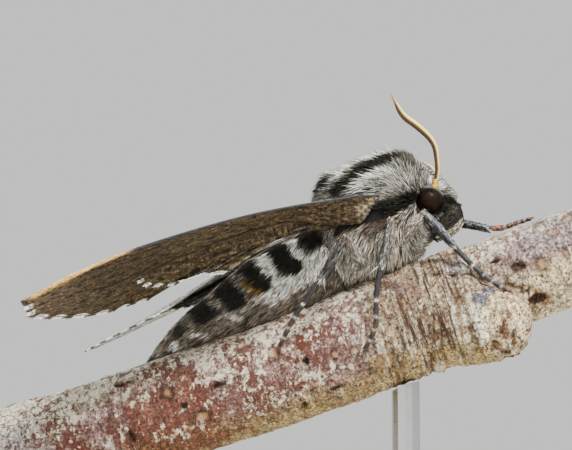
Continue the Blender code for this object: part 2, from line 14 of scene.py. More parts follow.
import bmesh
import bpy
import numpy as np
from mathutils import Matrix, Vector


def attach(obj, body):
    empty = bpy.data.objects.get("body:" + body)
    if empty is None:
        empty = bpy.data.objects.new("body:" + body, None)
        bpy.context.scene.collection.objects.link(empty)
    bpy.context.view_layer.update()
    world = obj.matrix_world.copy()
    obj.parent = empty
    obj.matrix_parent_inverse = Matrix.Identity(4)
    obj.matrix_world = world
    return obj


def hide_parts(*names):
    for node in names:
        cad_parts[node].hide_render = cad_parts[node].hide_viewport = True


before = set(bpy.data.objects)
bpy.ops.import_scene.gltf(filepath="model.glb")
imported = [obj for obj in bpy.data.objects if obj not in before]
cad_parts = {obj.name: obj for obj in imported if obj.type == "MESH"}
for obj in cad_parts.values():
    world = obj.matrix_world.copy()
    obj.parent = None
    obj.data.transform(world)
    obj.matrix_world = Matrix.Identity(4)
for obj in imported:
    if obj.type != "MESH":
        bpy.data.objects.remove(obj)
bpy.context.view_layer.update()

Array = np.ndarray
Shade = tuple[float, float, float]
Place = tuple[float, float, float]
Pair = tuple[float, float]
Piece = bpy.types.Object
Material = bpy.types.Material
Finishes = dict[str, Material]
Socket = bpy.types.NodeSocket
Given = Socket | Shade | float

MM = 0.001
DATUM = (0.0, 0.0, 48.0)
ROUND = 2 * math.pi
SEED = 7
LOG = logging.getLogger("hawk_moth")


class Side(Enum):
    """A side of the moth, and the sign of Y there."""

    LEFT = 1
    RIGHT = -1

    @property
    def word(self) -> str:
        """The side's name in lower case."""
        return self.name.lower()


class Segment(Enum):
    """A part of the body, and its coat's depth in millimetres."""

    ABDOMEN = 0.2
    THORAX = 0.55
    HEAD = 0.35


# Small tools


def unit(vectors: Array) -> Array:
    """Scale vectors to length 1.

    Args:
        vectors: One vector or rows of vectors.

    Returns:
        The vectors at length 1, and zero where they had no length.
    """
    return vectors / np.maximum(np.linalg.norm(vectors, axis=-1, keepdims=True), 1e-12)


def smooth_step(low: float | Array, high: float | Array, value: Array) -> Array:
    """Rise smoothly from 0 at low to 1 at high."""
    share = np.clip((value - low) / (high - low), 0.0, 1.0)
    return share * share * (3 - 2 * share)


def smooth_fall(low: float | Array, high: float | Array, value: Array) -> Array:
    """Fall smoothly from 1 at low to 0 at high."""
    return 1 - smooth_step(low, high, value)


def bell(value: Array, width: float) -> Array:
    """Fall away smoothly to both sides from 1 at a value of 0."""
    return np.exp(-(value / width) ** 2)


def smooth_path(points: Sequence, steps: int) -> Array:
    """Read a smooth curve through points.

    Args:
        points: The points or rows of values that it passes.
        steps: How many steps lead from one point to the next.

    Returns:
        The rows along the curve, the last given one included.
    """
    given = np.array(points, float)
    padded = np.vstack([2 * given[0] - given[1], given, 2 * given[-1] - given[-2]])
    found = []
    for i in range(len(given) - 1):
        a, b, c, d = padded[i:i + 4]
        for t in np.arange(steps) / steps:
            cubic = t * (3 * (b - c) + d - a)
            found.append(b + 0.5 * t * (c - a + t * (2 * a - 5 * b + 4 * c - d + cubic)))
    found.append(given[-1])
    return np.array(found)


def reach_along(line: Array) -> Array:
    """Find how far along a line each of its points is."""
    return np.concatenate([[0.0], np.cumsum(np.linalg.norm(np.diff(line, axis=0), axis=1))])


def filled(row: Sequence[float], count: int) -> Array:
    """Repeat one row."""
    return np.tile(row, (count, 1))


def everywhere(row: Array, turn: Array) -> Array:
    """Weigh all places of a bed alike."""
    return np.ones_like(row)


def blend(under: Array, over: Array | Shade, weight: Array) -> Array:
    """Lay one colour over another by a weight for each row."""
    weight = np.asarray(weight)[..., None]
    return under * (1 - weight) + np.asarray(over) * weight


def washed(ground: Array, *washes: tuple[Array | Shade, Array]) -> Array:
    """Lay colours over a ground, one after another.

    Args:
        ground: A colour for each row.
        washes: Each colour that is laid over it, and its weight for each row.

    Returns:
        A colour for each row.
    """
    for over, weight in washes:
        ground = blend(ground, over, weight)
    return ground


@dataclass
class Luck:
    """Draws uneven values for a number of hairs."""

    draw: np.random.Generator
    count: int

    def about(self, middle: float | Array, spread: float) -> Array:
        """Draw values about a middle."""
        return middle + self.draw.normal(0, spread, self.count)

    def times(self, size: float | Array, low: float, high: float) -> Array:
        """Draw sizes as shares of one size."""
        return size * self.draw.uniform(low, high, self.count)

    def toned(self, shade: Array, spread: float) -> Array:
        """Lighten or darken each row of a colour."""
        return shade * np.exp(spread * self.draw.normal(0, 1, self.count))[:, None]


class Grain:
    """Smooth noise in space that is the same each time."""

    CELLS = 256
    FADE = 0.55
    SHIFT = 17.3
    GAIN = 1.4

    def __init__(self, seed: int) -> None:
        """Draw the noise's table.

        Args:
            seed: What the draw starts from.
        """
        draw = np.random.default_rng(seed)
        self.order = np.tile(draw.permutation(self.CELLS), 2)
        self.height = draw.uniform(-1, 1, self.CELLS)

    def at(self, places: Array, size: float | Sequence[float]) -> Array:
        """Read the noise.

        Args:
            places: Rows of places in millimetres.
            size: The width of one wave, or its width along each axis.

        Returns:
            A value from -1 to 1 for each place.
        """
        scaled = places / np.asarray(size, float)
        cell = np.floor(scaled).astype(int)
        part = scaled - cell
        part = part * part * (3 - 2 * part)
        total = np.zeros(len(places))
        for corner in range(8):
            step = np.array([corner & 1, corner >> 1 & 1, corner >> 2 & 1])
            x, y, z = ((cell + step) % self.CELLS).T
            share = np.prod(np.where(step, part, 1 - part), axis=1)
            total += share * self.height[self.order[self.order[self.order[x] + y] + z]]
        return total

    def layered(self, places: Array, size: float | Sequence[float], layers: int = 3) -> Array:
        """Add finer and fainter waves of the noise.

        Args:
            places: Rows of places in millimetres.
            size: The width of the largest wave, or its width along each axis.
            layers: How many sizes of wave there are, each half the one before.

        Returns:
            A value of about -1 to 1 for each place.
        """
        size = np.asarray(size, float)
        shares = [self.FADE ** k for k in range(layers)]
        waves = [share * self.at(places + self.SHIFT * k, size / 2 ** k)
                 for k, share in enumerate(shares)]
        return sum(waves) / sum(shares) * self.GAIN


# Finishes


class Recipe:
    """Lays out the nodes of one material."""

    def __init__(self, name: str) -> None:
        """Start a material with its shader.

        Args:
            name: The material's name.
        """
        self.material = bpy.data.materials.new(name)
        self.material.use_nodes = True
        self.tree = self.material.node_tree
        self.shader = self.tree.nodes["Principled BSDF"]

    def put(self, target: Socket, value: Given) -> None:
        """Link a socket to an input, or set the input to a plain value."""
        if isinstance(value, Socket):
            self.tree.links.new(value, target)
        else:
            target.default_value = value

    def node(self, kind: str, inputs: dict, **settings: object) -> bpy.types.Node:
        """Add a node.

        Args:
            kind: The node's type without its ShaderNode prefix.
            inputs: What goes to each input, by name or number.
            settings: Properties of the node itself.

        Returns:
            The node.
        """
        made = self.tree.nodes.new("ShaderNode" + kind)
        for name, value in settings.items():
            setattr(made, name, value)
        for key, value in inputs.items():
            self.put(made.inputs[key], value)
        return made

    def set(self, **values: Given) -> None:
        """Set the shader's inputs, named with _ for a space."""
        for name, value in values.items():
            self.put(self.shader.inputs[name.replace("_", " ")], value)

    def read(self, name: str, output: str = "Fac") -> Socket:
        """Read an attribute of the mesh."""
        return self.node("Attribute", {}, attribute_name=name).outputs[output]

    def place(self) -> Socket:
        """Read the place on the object, in metres."""
        return self.node("TexCoord", {}).outputs["Object"]

    def stretch(self, vector: Socket, scale: Place) -> Socket:
        """Scale a vector along each axis."""
        return self.node("VectorMath", {0: vector, 1: scale}, operation="MULTIPLY").outputs[0]

    def scaled(self, vector: Socket, by: Given) -> Socket:
        """Scale a vector or a colour evenly."""
        return self.node("VectorMath", {0: vector, 3: by}, operation="SCALE").outputs[0]

    def marking(self, light: Socket) -> Socket:
        """Read the mesh's markings, lightened or darkened."""
        return self.scaled(self.read("marking", "Color"), light)

    def noise(self, vector: Socket, waves: float, detail: float = 4.0, rough: float = 0.55) -> Socket:
        """Read noise of about 0.2 to 0.8."""
        inputs = {"Vector": vector, "Scale": waves, "Detail": detail, "Roughness": rough}
        return self.node("TexNoise", inputs).outputs["Fac"]

    def cells(self, vector: Socket, waves: float, feature: str = "F1") -> Socket:
        """Read the distance to the middle of a cell, or to its edge."""
        made = self.node("TexVoronoi", {"Vector": vector, "Scale": waves}, feature=feature)
        return made.outputs["Distance"]

    def warp(self, vector: Socket, waves: float, amount: float) -> Socket:
        """Unsettle a place by a cloudy noise."""
        clouds = self.node("TexNoise", {"Vector": vector, "Scale": waves, "Detail": 3.0})
        shift = self.scaled(clouds.outputs["Color"], amount)
        return self.node("VectorMath", {0: vector, 1: shift}, operation="ADD").outputs[0]

    def step(self, value: Given, low: float, high: float, start: float = 0.0, end: float = 1.0) -> Socket:
        """Map a range of values to another, held at its ends."""
        inputs = {"Value": value, "From Min": low, "From Max": high, "To Min": start, "To Max": end}
        return self.node("MapRange", inputs).outputs["Result"]

    def times(self, first: Given, second: Given) -> Socket:
        """Multiply two values."""
        return self.node("Math", {0: first, 1: second}, operation="MULTIPLY").outputs[0]

    def plus(self, first: Given, second: Given) -> Socket:
        """Add two values."""
        return self.node("Math", {0: first, 1: second}, operation="ADD").outputs[0]

    def mix(self, share: Given, first: Given, second: Given) -> Socket:
        """Mix two colours."""
        made = self.node("Mix", {}, data_type="RGBA")
        for key, value in ((0, share), (6, first), (7, second)):
            self.put(made.inputs[key], (*value, 1.0) if isinstance(value, tuple) else value)
        return made.outputs[2]

    def relief(self, height: Socket, strength: float, depth: float) -> None:
        """Give the shader a bump.

        Args:
            height: The socket that gives the height from 0 to 1.
            strength: How much of the bump shows.
            depth: The height of 1 in metres.
        """
        bump = self.node("Bump", {"Height": height, "Strength": strength, "Distance": depth})
        self.set(Normal=bump.outputs["Normal"])


@dataclass(frozen=True)
class Finish:
    """A look for pieces, made as a material."""

    name: str

    def lay(self, recipe: Recipe) -> None:
        """Lay out the nodes, as each kind of finish does in its own way."""
        raise NotImplementedError

    def make(self) -> Material:
        """Make the material."""
        recipe = Recipe(self.name)
        self.lay(recipe)
        return recipe.material


@dataclass(frozen=True)
class HairFinish(Finish):
    """Hair and hair-like scales, coloured by the coat's markings, darkened towards each hair's root as
    painted shade and lightened towards its tip as painted light. Waves are per metre.
    """

    # The light at a hair's root and at its tip: painted shade and painted light along the hair.
    root_light: float = 0.2
    tip_light: float = 1.62
    mottle_light: Pair = (0.72, 1.22)
    mottle_waves: float = 5200.0
    relief_waves: float = 14000.0
    relief_depth: float = 0.00004
    roughness: float = 0.55
    gloss: float = 0.14

    def lay(self, recipe: Recipe) -> None:
        """Lay out the nodes."""
        mottle = recipe.noise(recipe.place(), self.mottle_waves, 3.0)
        # Each hair darkens towards its root, painted shade deep in the coat, and lightens towards its tip,
        # painted light.
        light = recipe.times(recipe.step(mottle, 0.3, 0.7, *self.mottle_light),
                             recipe.step(recipe.read("tip"), 0.0, 0.75, self.root_light, self.tip_light))
        recipe.set(Base_Color=recipe.marking(light), Roughness=self.roughness)
        recipe.set(Specular_IOR_Level=self.gloss)
        recipe.relief(recipe.noise(recipe.place(), self.relief_waves, 2.0), 0.35, self.relief_depth)


@dataclass(frozen=True)
class MembraneFinish(Finish):
    """Wing scales: fine streaks along the wing over its markings. Waves are per millimetre."""

    tan: Shade = (0.31, 0.22, 0.125)
    streak_waves: Place = (1.1, 1.9, 1.0)
    band_waves: Place = (0.2, 1.3, 1.0)
    fleck_waves: Place = (3.2, 4.4, 1.0)
    scale_rows: Place = (7.0, 9.0, 1.0)
    streak_light: Pair = (0.32, 1.98)
    band_light: Pair = (0.85, 1.15)
    fleck_light: Pair = (0.42, 1.62)
    relief_depth: float = 0.00007
    roughness: float = 0.75
    gloss: float = 0.18

    def lay(self, recipe: Recipe) -> None:
        """Lay out the nodes."""
        grain = recipe.read("grain", "Vector")
        streak = recipe.noise(recipe.stretch(grain, self.streak_waves), 1.0, 6.0, 0.72)
        band = recipe.noise(recipe.stretch(grain, self.band_waves), 1.0, 3.0)
        fleck = recipe.noise(recipe.stretch(grain, self.fleck_waves), 1.0, 3.0, 0.7)
        light = recipe.times(recipe.step(streak, 0.4, 0.6, *self.streak_light),
                             recipe.step(band, 0.35, 0.65, *self.band_light))
        light = recipe.times(light, recipe.step(fleck, 0.4, 0.6, *self.fleck_light))
        shade = recipe.marking(light)
        tan = recipe.times(recipe.step(fleck, 0.54, 0.66, 0.0, 0.6), recipe.step(streak, 0.46, 0.6))
        shade = recipe.mix(recipe.read("bare"), recipe.mix(tan, shade, self.tan), shade)
        recipe.set(Base_Color=shade, Roughness=self.roughness, Specular_IOR_Level=self.gloss)
        rows = recipe.cells(recipe.stretch(grain, self.scale_rows), 1.0)
        recipe.relief(recipe.plus(recipe.times(rows, 0.5), streak), 0.5, self.relief_depth)


@dataclass(frozen=True)
class ShellFinish(Finish):
    """Scaled or bare shell of legs, feelers and claws, streaked along its length."""

    light: Pair = (0.55, 1.6)
    roughness: float = 0.5
    streak_waves: Place = (0.9, 8.0, 8.0)
    scale_rows: Place = (7.0, 11.0, 11.0)
    relief_depth: float = 0.00004
    gloss: float = 0.4

    def lay(self, recipe: Recipe) -> None:
        """Lay out the nodes."""
        grain = recipe.read("grain", "Vector")
        streak = recipe.noise(recipe.stretch(grain, self.streak_waves), 1.0, 4.0, 0.6)
        shade = recipe.marking(recipe.step(streak, 0.35, 0.66, *self.light))
        recipe.set(Base_Color=shade, Roughness=self.roughness, Specular_IOR_Level=self.gloss)
        recipe.relief(recipe.cells(recipe.stretch(grain, self.scale_rows), 1.0), 0.4, self.relief_depth)


@dataclass(frozen=True)
class EyeFinish(Finish):
    """The compound eye: dark, with a reddish depth where it faces the view, painted shade darkening it
    towards its rim, and fine facets. Waves are per metre.
    """

    # The deep colour is the eye's dark, and also the painted shade at its rim.
    deep: Shade = (0.002, 0.0009, 0.0006)
    warm: Shade = (0.015, 0.0052, 0.0012)
    cloud_waves: float = 900.0
    facets: float = 14000.0
    relief_depth: float = 0.000012
    roughness: float = 0.24
    gloss: float = 0.09

    def lay(self, recipe: Recipe) -> None:
        """Lay out the nodes."""
        place = recipe.place()
        # The eye is warm where it faces the view and darkens to black towards its rim: painted shade at the
        # rim.
        facing = recipe.node("LayerWeight", {"Blend": 0.35}).outputs["Facing"]
        clouds = recipe.noise(place, self.cloud_waves, 2.0)
        depth = recipe.times(recipe.step(clouds, 0.3, 0.7), recipe.step(facing, 0.0, 0.7, 1.0, 0.1))
        shade = recipe.mix(depth, self.deep, self.warm)
        recipe.set(Base_Color=shade, Roughness=self.roughness, Specular_IOR_Level=self.gloss)
        edges = recipe.cells(place, self.facets, "DISTANCE_TO_EDGE")
        recipe.relief(recipe.step(edges, 0.0, 0.12), 0.5, self.relief_depth)


@dataclass(frozen=True)
class AmberFinish(Finish):
    """The clear, glossy shell of a feeler's first joint. Waves are per metre."""

    light: Shade = (0.80, 0.52, 0.05)
    dark: Shade = (0.24, 0.09, 0.006)
    cloud_waves: float = 2600.0
    relief_depth: float = 0.00003
    roughness: float = 0.2
    varnish: float = 0.5
    varnish_roughness: float = 0.08

    def lay(self, recipe: Recipe) -> None:
        """Lay out the nodes."""
        clouds = recipe.noise(recipe.place(), self.cloud_waves, 3.0)
        shade = recipe.mix(recipe.step(clouds, 0.35, 0.65), self.light, self.dark)
        recipe.set(Base_Color=shade, Roughness=self.roughness)
        recipe.set(Coat_Weight=self.varnish, Coat_Roughness=self.varnish_roughness)
        recipe.relief(clouds, 0.2, self.relief_depth)


@dataclass(frozen=True)
class BarkFinish(Finish):
    """Young bark: pale lacy flakes and red blotches over its ground, with folds, dots and scars.
    The folds are darker in their creases and paler on their crests: painted shade and painted light.

    Waves are per metre, those of the folds per millimetre.
    """

    chalk: Shade = (0.90, 0.84, 0.64)
    dull_chalk: Shade = (0.558, 0.5208, 0.3968)
    red: Shade = (0.105, 0.025, 0.013)
    brown: Shade = (0.06, 0.031, 0.017)
    lace: Shade = (0.10, 0.036, 0.026)
    gap: Shade = (0.12, 0.068, 0.056)
    pit: Shade = (0.018, 0.010, 0.007)
    heart: Shade = (0.44, 0.25, 0.11)
    flake_waves: float = 1150.0
    flake_stretch: Place = (1.3, 0.9, 0.9)
    blotch_waves: float = 330.0
    speck_waves: float = 3600.0
    fold_waves: Place = (2.4, 0.26, 0.26)
    speck_light: Pair = (0.3, 1.75)
    # How the ground darkens in the folds' troughs and lightens on their crests: painted shade and painted
    # light.
    fold_light: Pair = (0.6, 1.4)
    chalk_share: float = 0.14
    lace_waves: float = 780.0
    lace_stretch: Place = (1.0, 1.0, 1.6)
    dot_waves: float = 1500.0
    dot_stretch: Place = (1.6, 1.0, 1.0)
    dot_clouds: float = 800.0
    relief_depth: float = 0.0004
    roughness: float = 0.8
    gloss: float = 0.22

    def netting(self, recipe: Recipe, place: Socket, blotch: Socket) -> Socket:
        """Find how much shows of the brown lace between the flakes.

        Args:
            recipe: The material's nodes.
            place: The place on the bark.
            blotch: The noise of the blotches, which the lace keeps to.

        Returns:
            The lace's share.
        """
        warped = recipe.warp(recipe.stretch(place, self.lace_stretch), 1500.0, 0.0011)
        edges = recipe.cells(warped, self.lace_waves, "DISTANCE_TO_EDGE")
        lace = recipe.times(recipe.step(edges, 0.02, 0.10, 0.95, 0.0), recipe.step(blotch, 0.42, 0.5))
        return recipe.times(lace, recipe.step(recipe.read("rusty"), 0.0, 0.5, 0.6, 1.0))

    def dotting(self, recipe: Recipe, place: Socket) -> Socket:
        """Find how much shows of the small brown dots."""
        middles = recipe.cells(recipe.stretch(place, self.dot_stretch), self.dot_waves)
        clouds = recipe.noise(place, self.dot_clouds, 3.0)
        return recipe.times(recipe.step(middles, 0.16, 0.3, 1.0, 0.0),
                            recipe.step(clouds, 0.44, 0.50, 0.0, 0.9))

    def lay(self, recipe: Recipe) -> None:
        """Lay out the nodes."""
        place, grain = recipe.place(), recipe.read("grain", "Vector")
        flake = recipe.noise(recipe.stretch(place, self.flake_stretch), self.flake_waves, 8.0, 0.72)
        blotch = recipe.noise(place, self.blotch_waves, 8.0, 0.72)
        speck = recipe.noise(place, self.speck_waves, 4.0, 0.65)
        folds = recipe.noise(recipe.stretch(grain, self.fold_waves), 1.0, 7.0, 0.68)
        dots = self.dotting(recipe, place)
        # The ground darkens in the folds' troughs and lightens on their crests: painted shade and painted
        # light.
        ground = recipe.marking(recipe.times(recipe.step(speck, 0.38, 0.62, *self.speck_light),
                                             recipe.step(folds, 0.38, 0.62, *self.fold_light)))
        red = recipe.times(recipe.step(blotch, 0.485, 0.525), recipe.read("rusty"))
        # The chalk attribute holds painted light on the branch's top and painted shade below.
        pale = recipe.plus(flake, recipe.times(recipe.read("chalky"), self.chalk_share))
        # Brown in the deepest fold troughs: painted shade in the creases.
        crease_painted_shade = recipe.times(recipe.step(folds, 0.40, 0.47, 1.0, 0.0), recipe.read("folded"))
        for share, over in (
                (red, self.red),
                (recipe.step(flake, 0.38, 0.43, 0.75, 0.0), self.gap),
                (recipe.step(pale, 0.535, 0.57, 0.0, 0.9),
                 recipe.mix(recipe.step(speck, 0.38, 0.6), self.dull_chalk, self.chalk)),
                (self.netting(recipe, place, blotch), self.lace),
                (dots, self.brown),
                (crease_painted_shade, self.brown),
                (recipe.read("heart"), self.heart),
                (recipe.read("pit"), recipe.mix(recipe.step(speck, 0.4, 0.6), self.pit, self.brown))):
            ground = recipe.mix(share, ground, over)
        recipe.set(Base_Color=ground, Roughness=self.roughness, Specular_IOR_Level=self.gloss)
        height = recipe.plus(recipe.times(flake, 0.7), recipe.times(speck, 0.3))
        height = recipe.plus(height, recipe.times(folds, 0.7))
        height = recipe.plus(height, recipe.times(dots, -0.25))
        recipe.relief(height, 1.0, self.relief_depth)


@dataclass(frozen=True)
class WoodFinish(Finish):
    """The painted wood of the base, its grain just showing. Waves are per metre."""

    light: Shade = (0.52, 0.50, 0.46)
    dark: Shade = (0.40, 0.385, 0.355)
    grain_stretch: Place = (1.0, 14.0, 3.0)
    grain_waves: float = 90.0
    speck_waves: float = 1500.0
    roughness: Pair = (0.42, 0.6)
    relief_depth: float = 0.0001

    def lay(self, recipe: Recipe) -> None:
        """Lay out the nodes."""
        grain = recipe.noise(recipe.stretch(recipe.place(), self.grain_stretch), self.grain_waves, 5.0, 0.6)
        speck = recipe.noise(recipe.place(), self.speck_waves, 3.0)
        shade = recipe.mix(recipe.step(grain, 0.4, 0.62), self.light, self.dark)
        recipe.set(Base_Color=shade, Roughness=recipe.step(speck, 0.3, 0.7, *self.roughness))
        recipe.relief(grain, 0.3, self.relief_depth)


@dataclass(frozen=True)
class SteelFinish(Finish):
    """Brushed steel of the rods. Waves are per metre."""

    bright: Shade = (0.56, 0.565, 0.57)
    dull: Shade = (0.448, 0.452, 0.456)
    brush_stretch: Place = (1.0, 1.0, 30.0)
    brush_waves: float = 400.0
    roughness: Pair = (0.26, 0.42)
    relief_depth: float = 0.00004

    def lay(self, recipe: Recipe) -> None:
        """Lay out the nodes."""
        brush = recipe.noise(recipe.stretch(recipe.place(), self.brush_stretch), self.brush_waves)
        recipe.set(Base_Color=recipe.mix(brush, self.bright, self.dull), Metallic=1.0)
        recipe.set(Roughness=recipe.step(brush, 0.3, 0.7, *self.roughness))
        recipe.relief(brush, 0.1, self.relief_depth)


@dataclass(frozen=True)
class PaperFinish(Finish):
    """The pale floor of the studio. Waves are per metre."""

    pale: Shade = (0.72, 0.72, 0.70)
    dull: Shade = (0.684, 0.684, 0.665)
    mottle_waves: float = 60.0
    roughness: float = 0.9

    def lay(self, recipe: Recipe) -> None:
        """Lay out the nodes."""
        mottle = recipe.noise(recipe.place(), self.mottle_waves)
        recipe.set(Base_Color=recipe.mix(mottle, self.pale, self.dull), Roughness=self.roughness)


# Meshes


def make_piece(name: str, places: Array, faces: Sequence[Array]) -> Piece:
    """Make a mesh object.

    Args:
        name: The piece's name.
        places: Rows of places in millimetres about the datum.
        faces: Arrays of triangles or of quads.

    Returns:
        The object, smoothly shaded and linked to the scene.
    """
    corners = np.concatenate([block.ravel() for block in faces]).astype(np.int32)
    sizes = np.concatenate([np.full(len(block), block.shape[1]) for block in faces])
    starts = np.concatenate([[0], np.cumsum(sizes)[:-1]]).astype(np.int32)
    mesh = bpy.data.meshes.new(name)
    mesh.vertices.add(len(places))
    mesh.vertices.foreach_set("co", ((places + DATUM) * MM).astype(np.float32).ravel())
    mesh.loops.add(len(corners))
    mesh.loops.foreach_set("vertex_index", corners)
    mesh.polygons.add(len(sizes))
    mesh.polygons.foreach_set("loop_start", starts)
    mesh.update(calc_edges=True)
    mesh.validate()
    mesh.shade_smooth()
    made = bpy.data.objects.new(name, mesh)
    bpy.context.scene.collection.objects.link(made)
    return made


def write_values(piece: Piece, name: str, values: Array) -> None:
    """Keep values for each point of a piece as an attribute.

    Args:
        piece: The mesh object.
        name: The attribute's name.
        values: One number, one vector or one colour for each point. Those named marking are
            colours.
    """
    kind, field = "FLOAT_VECTOR", "vector"
    if values.ndim == 1:
        kind, field = "FLOAT", "value"
    elif name == "marking":
        kind, field = "FLOAT_COLOR", "color"
        values = np.column_stack([values, np.ones(len(values))])
    made = piece.data.attributes.new(name, kind, "POINT")
    made.data.foreach_set(field, values.astype(np.float32).ravel())


def write_unwrap(piece: Piece, unwrap: Array) -> None:
    """Keep a place on an unwrap for each point of a piece, in the map named OFBake."""
    corner = np.empty(len(piece.data.loops), np.int32)
    piece.data.loops.foreach_get("vertex_index", corner)
    layer = piece.data.uv_layers.new(name="OFBake")
    layer.data.foreach_set("uv", unwrap[corner].astype(np.float32).ravel())


def mirrored(places: Array, side: Side) -> Array:
    """Put places that are given for the left side on a side of the moth."""
    return places * (1, side.value, 1)


def read_rows(holder: Sequence, name: str) -> Array:
    """Read a vector for each point of a piece.

    Args:
        holder: The list that holds the vectors.
        name: What they are called in that list.

    Returns:
        Rows of vectors.
    """
    found = np.empty(len(holder) * 3, np.float32)
    holder.foreach_get(name, found)
    return found.reshape(-1, 3)


def read_places(piece: Piece) -> Array:
    """Read a piece's points, in millimetres about the datum."""
    return read_rows(piece.data.vertices, "co") / MM - DATUM


def read_normals(piece: Piece) -> Array:
    """Read the way out at each of a piece's points."""
    return read_rows(piece.data.vertex_normals, "vector")


def read_grain(piece: Piece) -> Array:
    """Read back a piece's grain."""
    return read_rows(piece.data.attributes["grain"].data, "vector")


@dataclass
class Roots:
    """Where hairs grow on a bed.

    It holds their places, the ways out of the bed, on to the next row and round it there, and the
    row and turn of each.
    """

    place: Array
    out: Array
    on: Array
    round: Array
    row: Array
    turn: Array

    def only(self, wanted: Array) -> "Roots":
        """Keep the wanted ones."""
        return Roots(*(values[wanted] for values in vars(self).values()))


@dataclass
class Bed:
    """A closed-round surface that is skinned and that hair grows on.

    Its grid holds rows of places, and each row goes once round. Rows has the number that each row
    is known by, and a turn is in degrees from the first place of a row.
    """

    grid: Array
    rows: Array

    def normals(self) -> Array:
        """Find the way out at each place of the grid."""
        on = np.gradient(self.grid, axis=0)
        ahead, behind = np.roll(self.grid, -1, axis=1), np.roll(self.grid, 1, axis=1)
        out = unit(np.cross(on, ahead - behind))
        middle = self.grid.mean(axis=1, keepdims=True)
        inward = np.sum(out * (self.grid - middle)) < 0
        return -out if inward else out

    def turns(self) -> Array:
        """Give the turn of each column, from -180 to 180."""
        count = self.grid.shape[1]
        return self.wrapped(np.arange(count) * 360.0 / count)

    @staticmethod
    def wrapped(turn: Array) -> Array:
        """Put turns in degrees between -180 and 180."""
        return (turn + 180) % 360 - 180

    def skin(self, name: str) -> Piece:
        """Make the closed mesh of the bed.

        Args:
            name: The piece's name.

        Returns:
            The piece, with its unwrap.
        """
        rows, columns = self.grid.shape[:2]
        places = np.vstack([self.grid.reshape(-1, 3), self.grid[0].mean(0), self.grid[-1].mean(0)])
        here = np.arange(rows * columns).reshape(rows, columns)
        after = np.roll(here, -1, axis=1)
        quads = np.stack([here[:-1], after[:-1], after[1:], here[1:]], -1).reshape(-1, 4)
        first = np.column_stack([np.full(columns, rows * columns), after[0], here[0]])
        last = np.column_stack([np.full(columns, rows * columns + 1), here[-1], after[-1]])
        on, round_it = self.grid[1:] - self.grid[:-1], np.roll(self.grid, -1, axis=1)[1:] - self.grid[1:]
        middle = self.grid[1:].mean(axis=1, keepdims=True)
        if np.sum(np.cross(on, round_it) * (self.grid[1:] - middle)) > 0:
            quads, first, last = quads[:, ::-1], first[:, ::-1], last[:, ::-1]
        made = make_piece(name, places, [quads, first, last])
        share = np.repeat(np.arange(rows) / (rows - 1), columns)
        turn = np.tile(np.arange(columns) / columns, rows)
        write_unwrap(made, np.vstack([np.column_stack([share, turn]), [[0.0, 0.5], [1.0, 0.5]]]))
        return made

    def unwrap_of(self, roots: Roots) -> Array:
        """Find where roots are on the skin's unwrap."""
        share = (roots.row - self.rows[0]) / (self.rows[-1] - self.rows[0])
        return np.column_stack([share, (roots.turn / 360.0) % 1.0])

    def scatter(self, density: float, wanted: Callable[[Array, Array], Array],
                draw: np.random.Generator) -> Roots:
        """Scatter roots over the bed.

        Args:
            density: How many there are on a square millimetre where the weight is 1.
            wanted: Gives the weight for rows and turns.
            draw: What the chances are drawn from.

        Returns:
            The roots.
        """
        grid, out = self.grid, self.normals()
        columns = grid.shape[1]
        ring = np.concatenate([grid, grid[:, :1]], axis=1)
        ring_out = np.concatenate([out, out[:, :1]], axis=1)
        corner = ring[:-1, :-1]
        on, round_it = ring[1:, :-1] - corner, ring[:-1, 1:] - corner
        area = np.linalg.norm(np.cross(on, round_it), axis=-1)
        step = 360.0 / columns
        row_middle = (self.rows[:-1] + self.rows[1:]) / 2
        rows_there, turns_there = np.meshgrid(row_middle, (np.arange(columns) + 0.5) * step, indexing="ij")
        weight = (area * wanted(rows_there, self.wrapped(turns_there))).ravel()
        count = int(density * weight.sum())
        chosen = draw.choice(len(weight), count, p=weight / weight.sum())
        i, j = np.divmod(chosen, columns)
        a, b = draw.random(count), draw.random(count)

        def between(values: Array) -> Array:
            """Read values inside the chosen cells."""
            low = values[i, j] * (1 - b)[:, None] + values[i, j + 1] * b[:, None]
            high = values[i + 1, j] * (1 - b)[:, None] + values[i + 1, j + 1] * b[:, None]
            return low * (1 - a)[:, None] + high * a[:, None]

        row = self.rows[i] * (1 - a) + self.rows[i + 1] * a
        gap = (self.rows[i + 1] - self.rows[i])[:, None]
        return Roots(between(ring), unit(between(ring_out)), on[i, j] / gap, round_it[i, j] / step,
                     row, self.wrapped((j + b) * step))


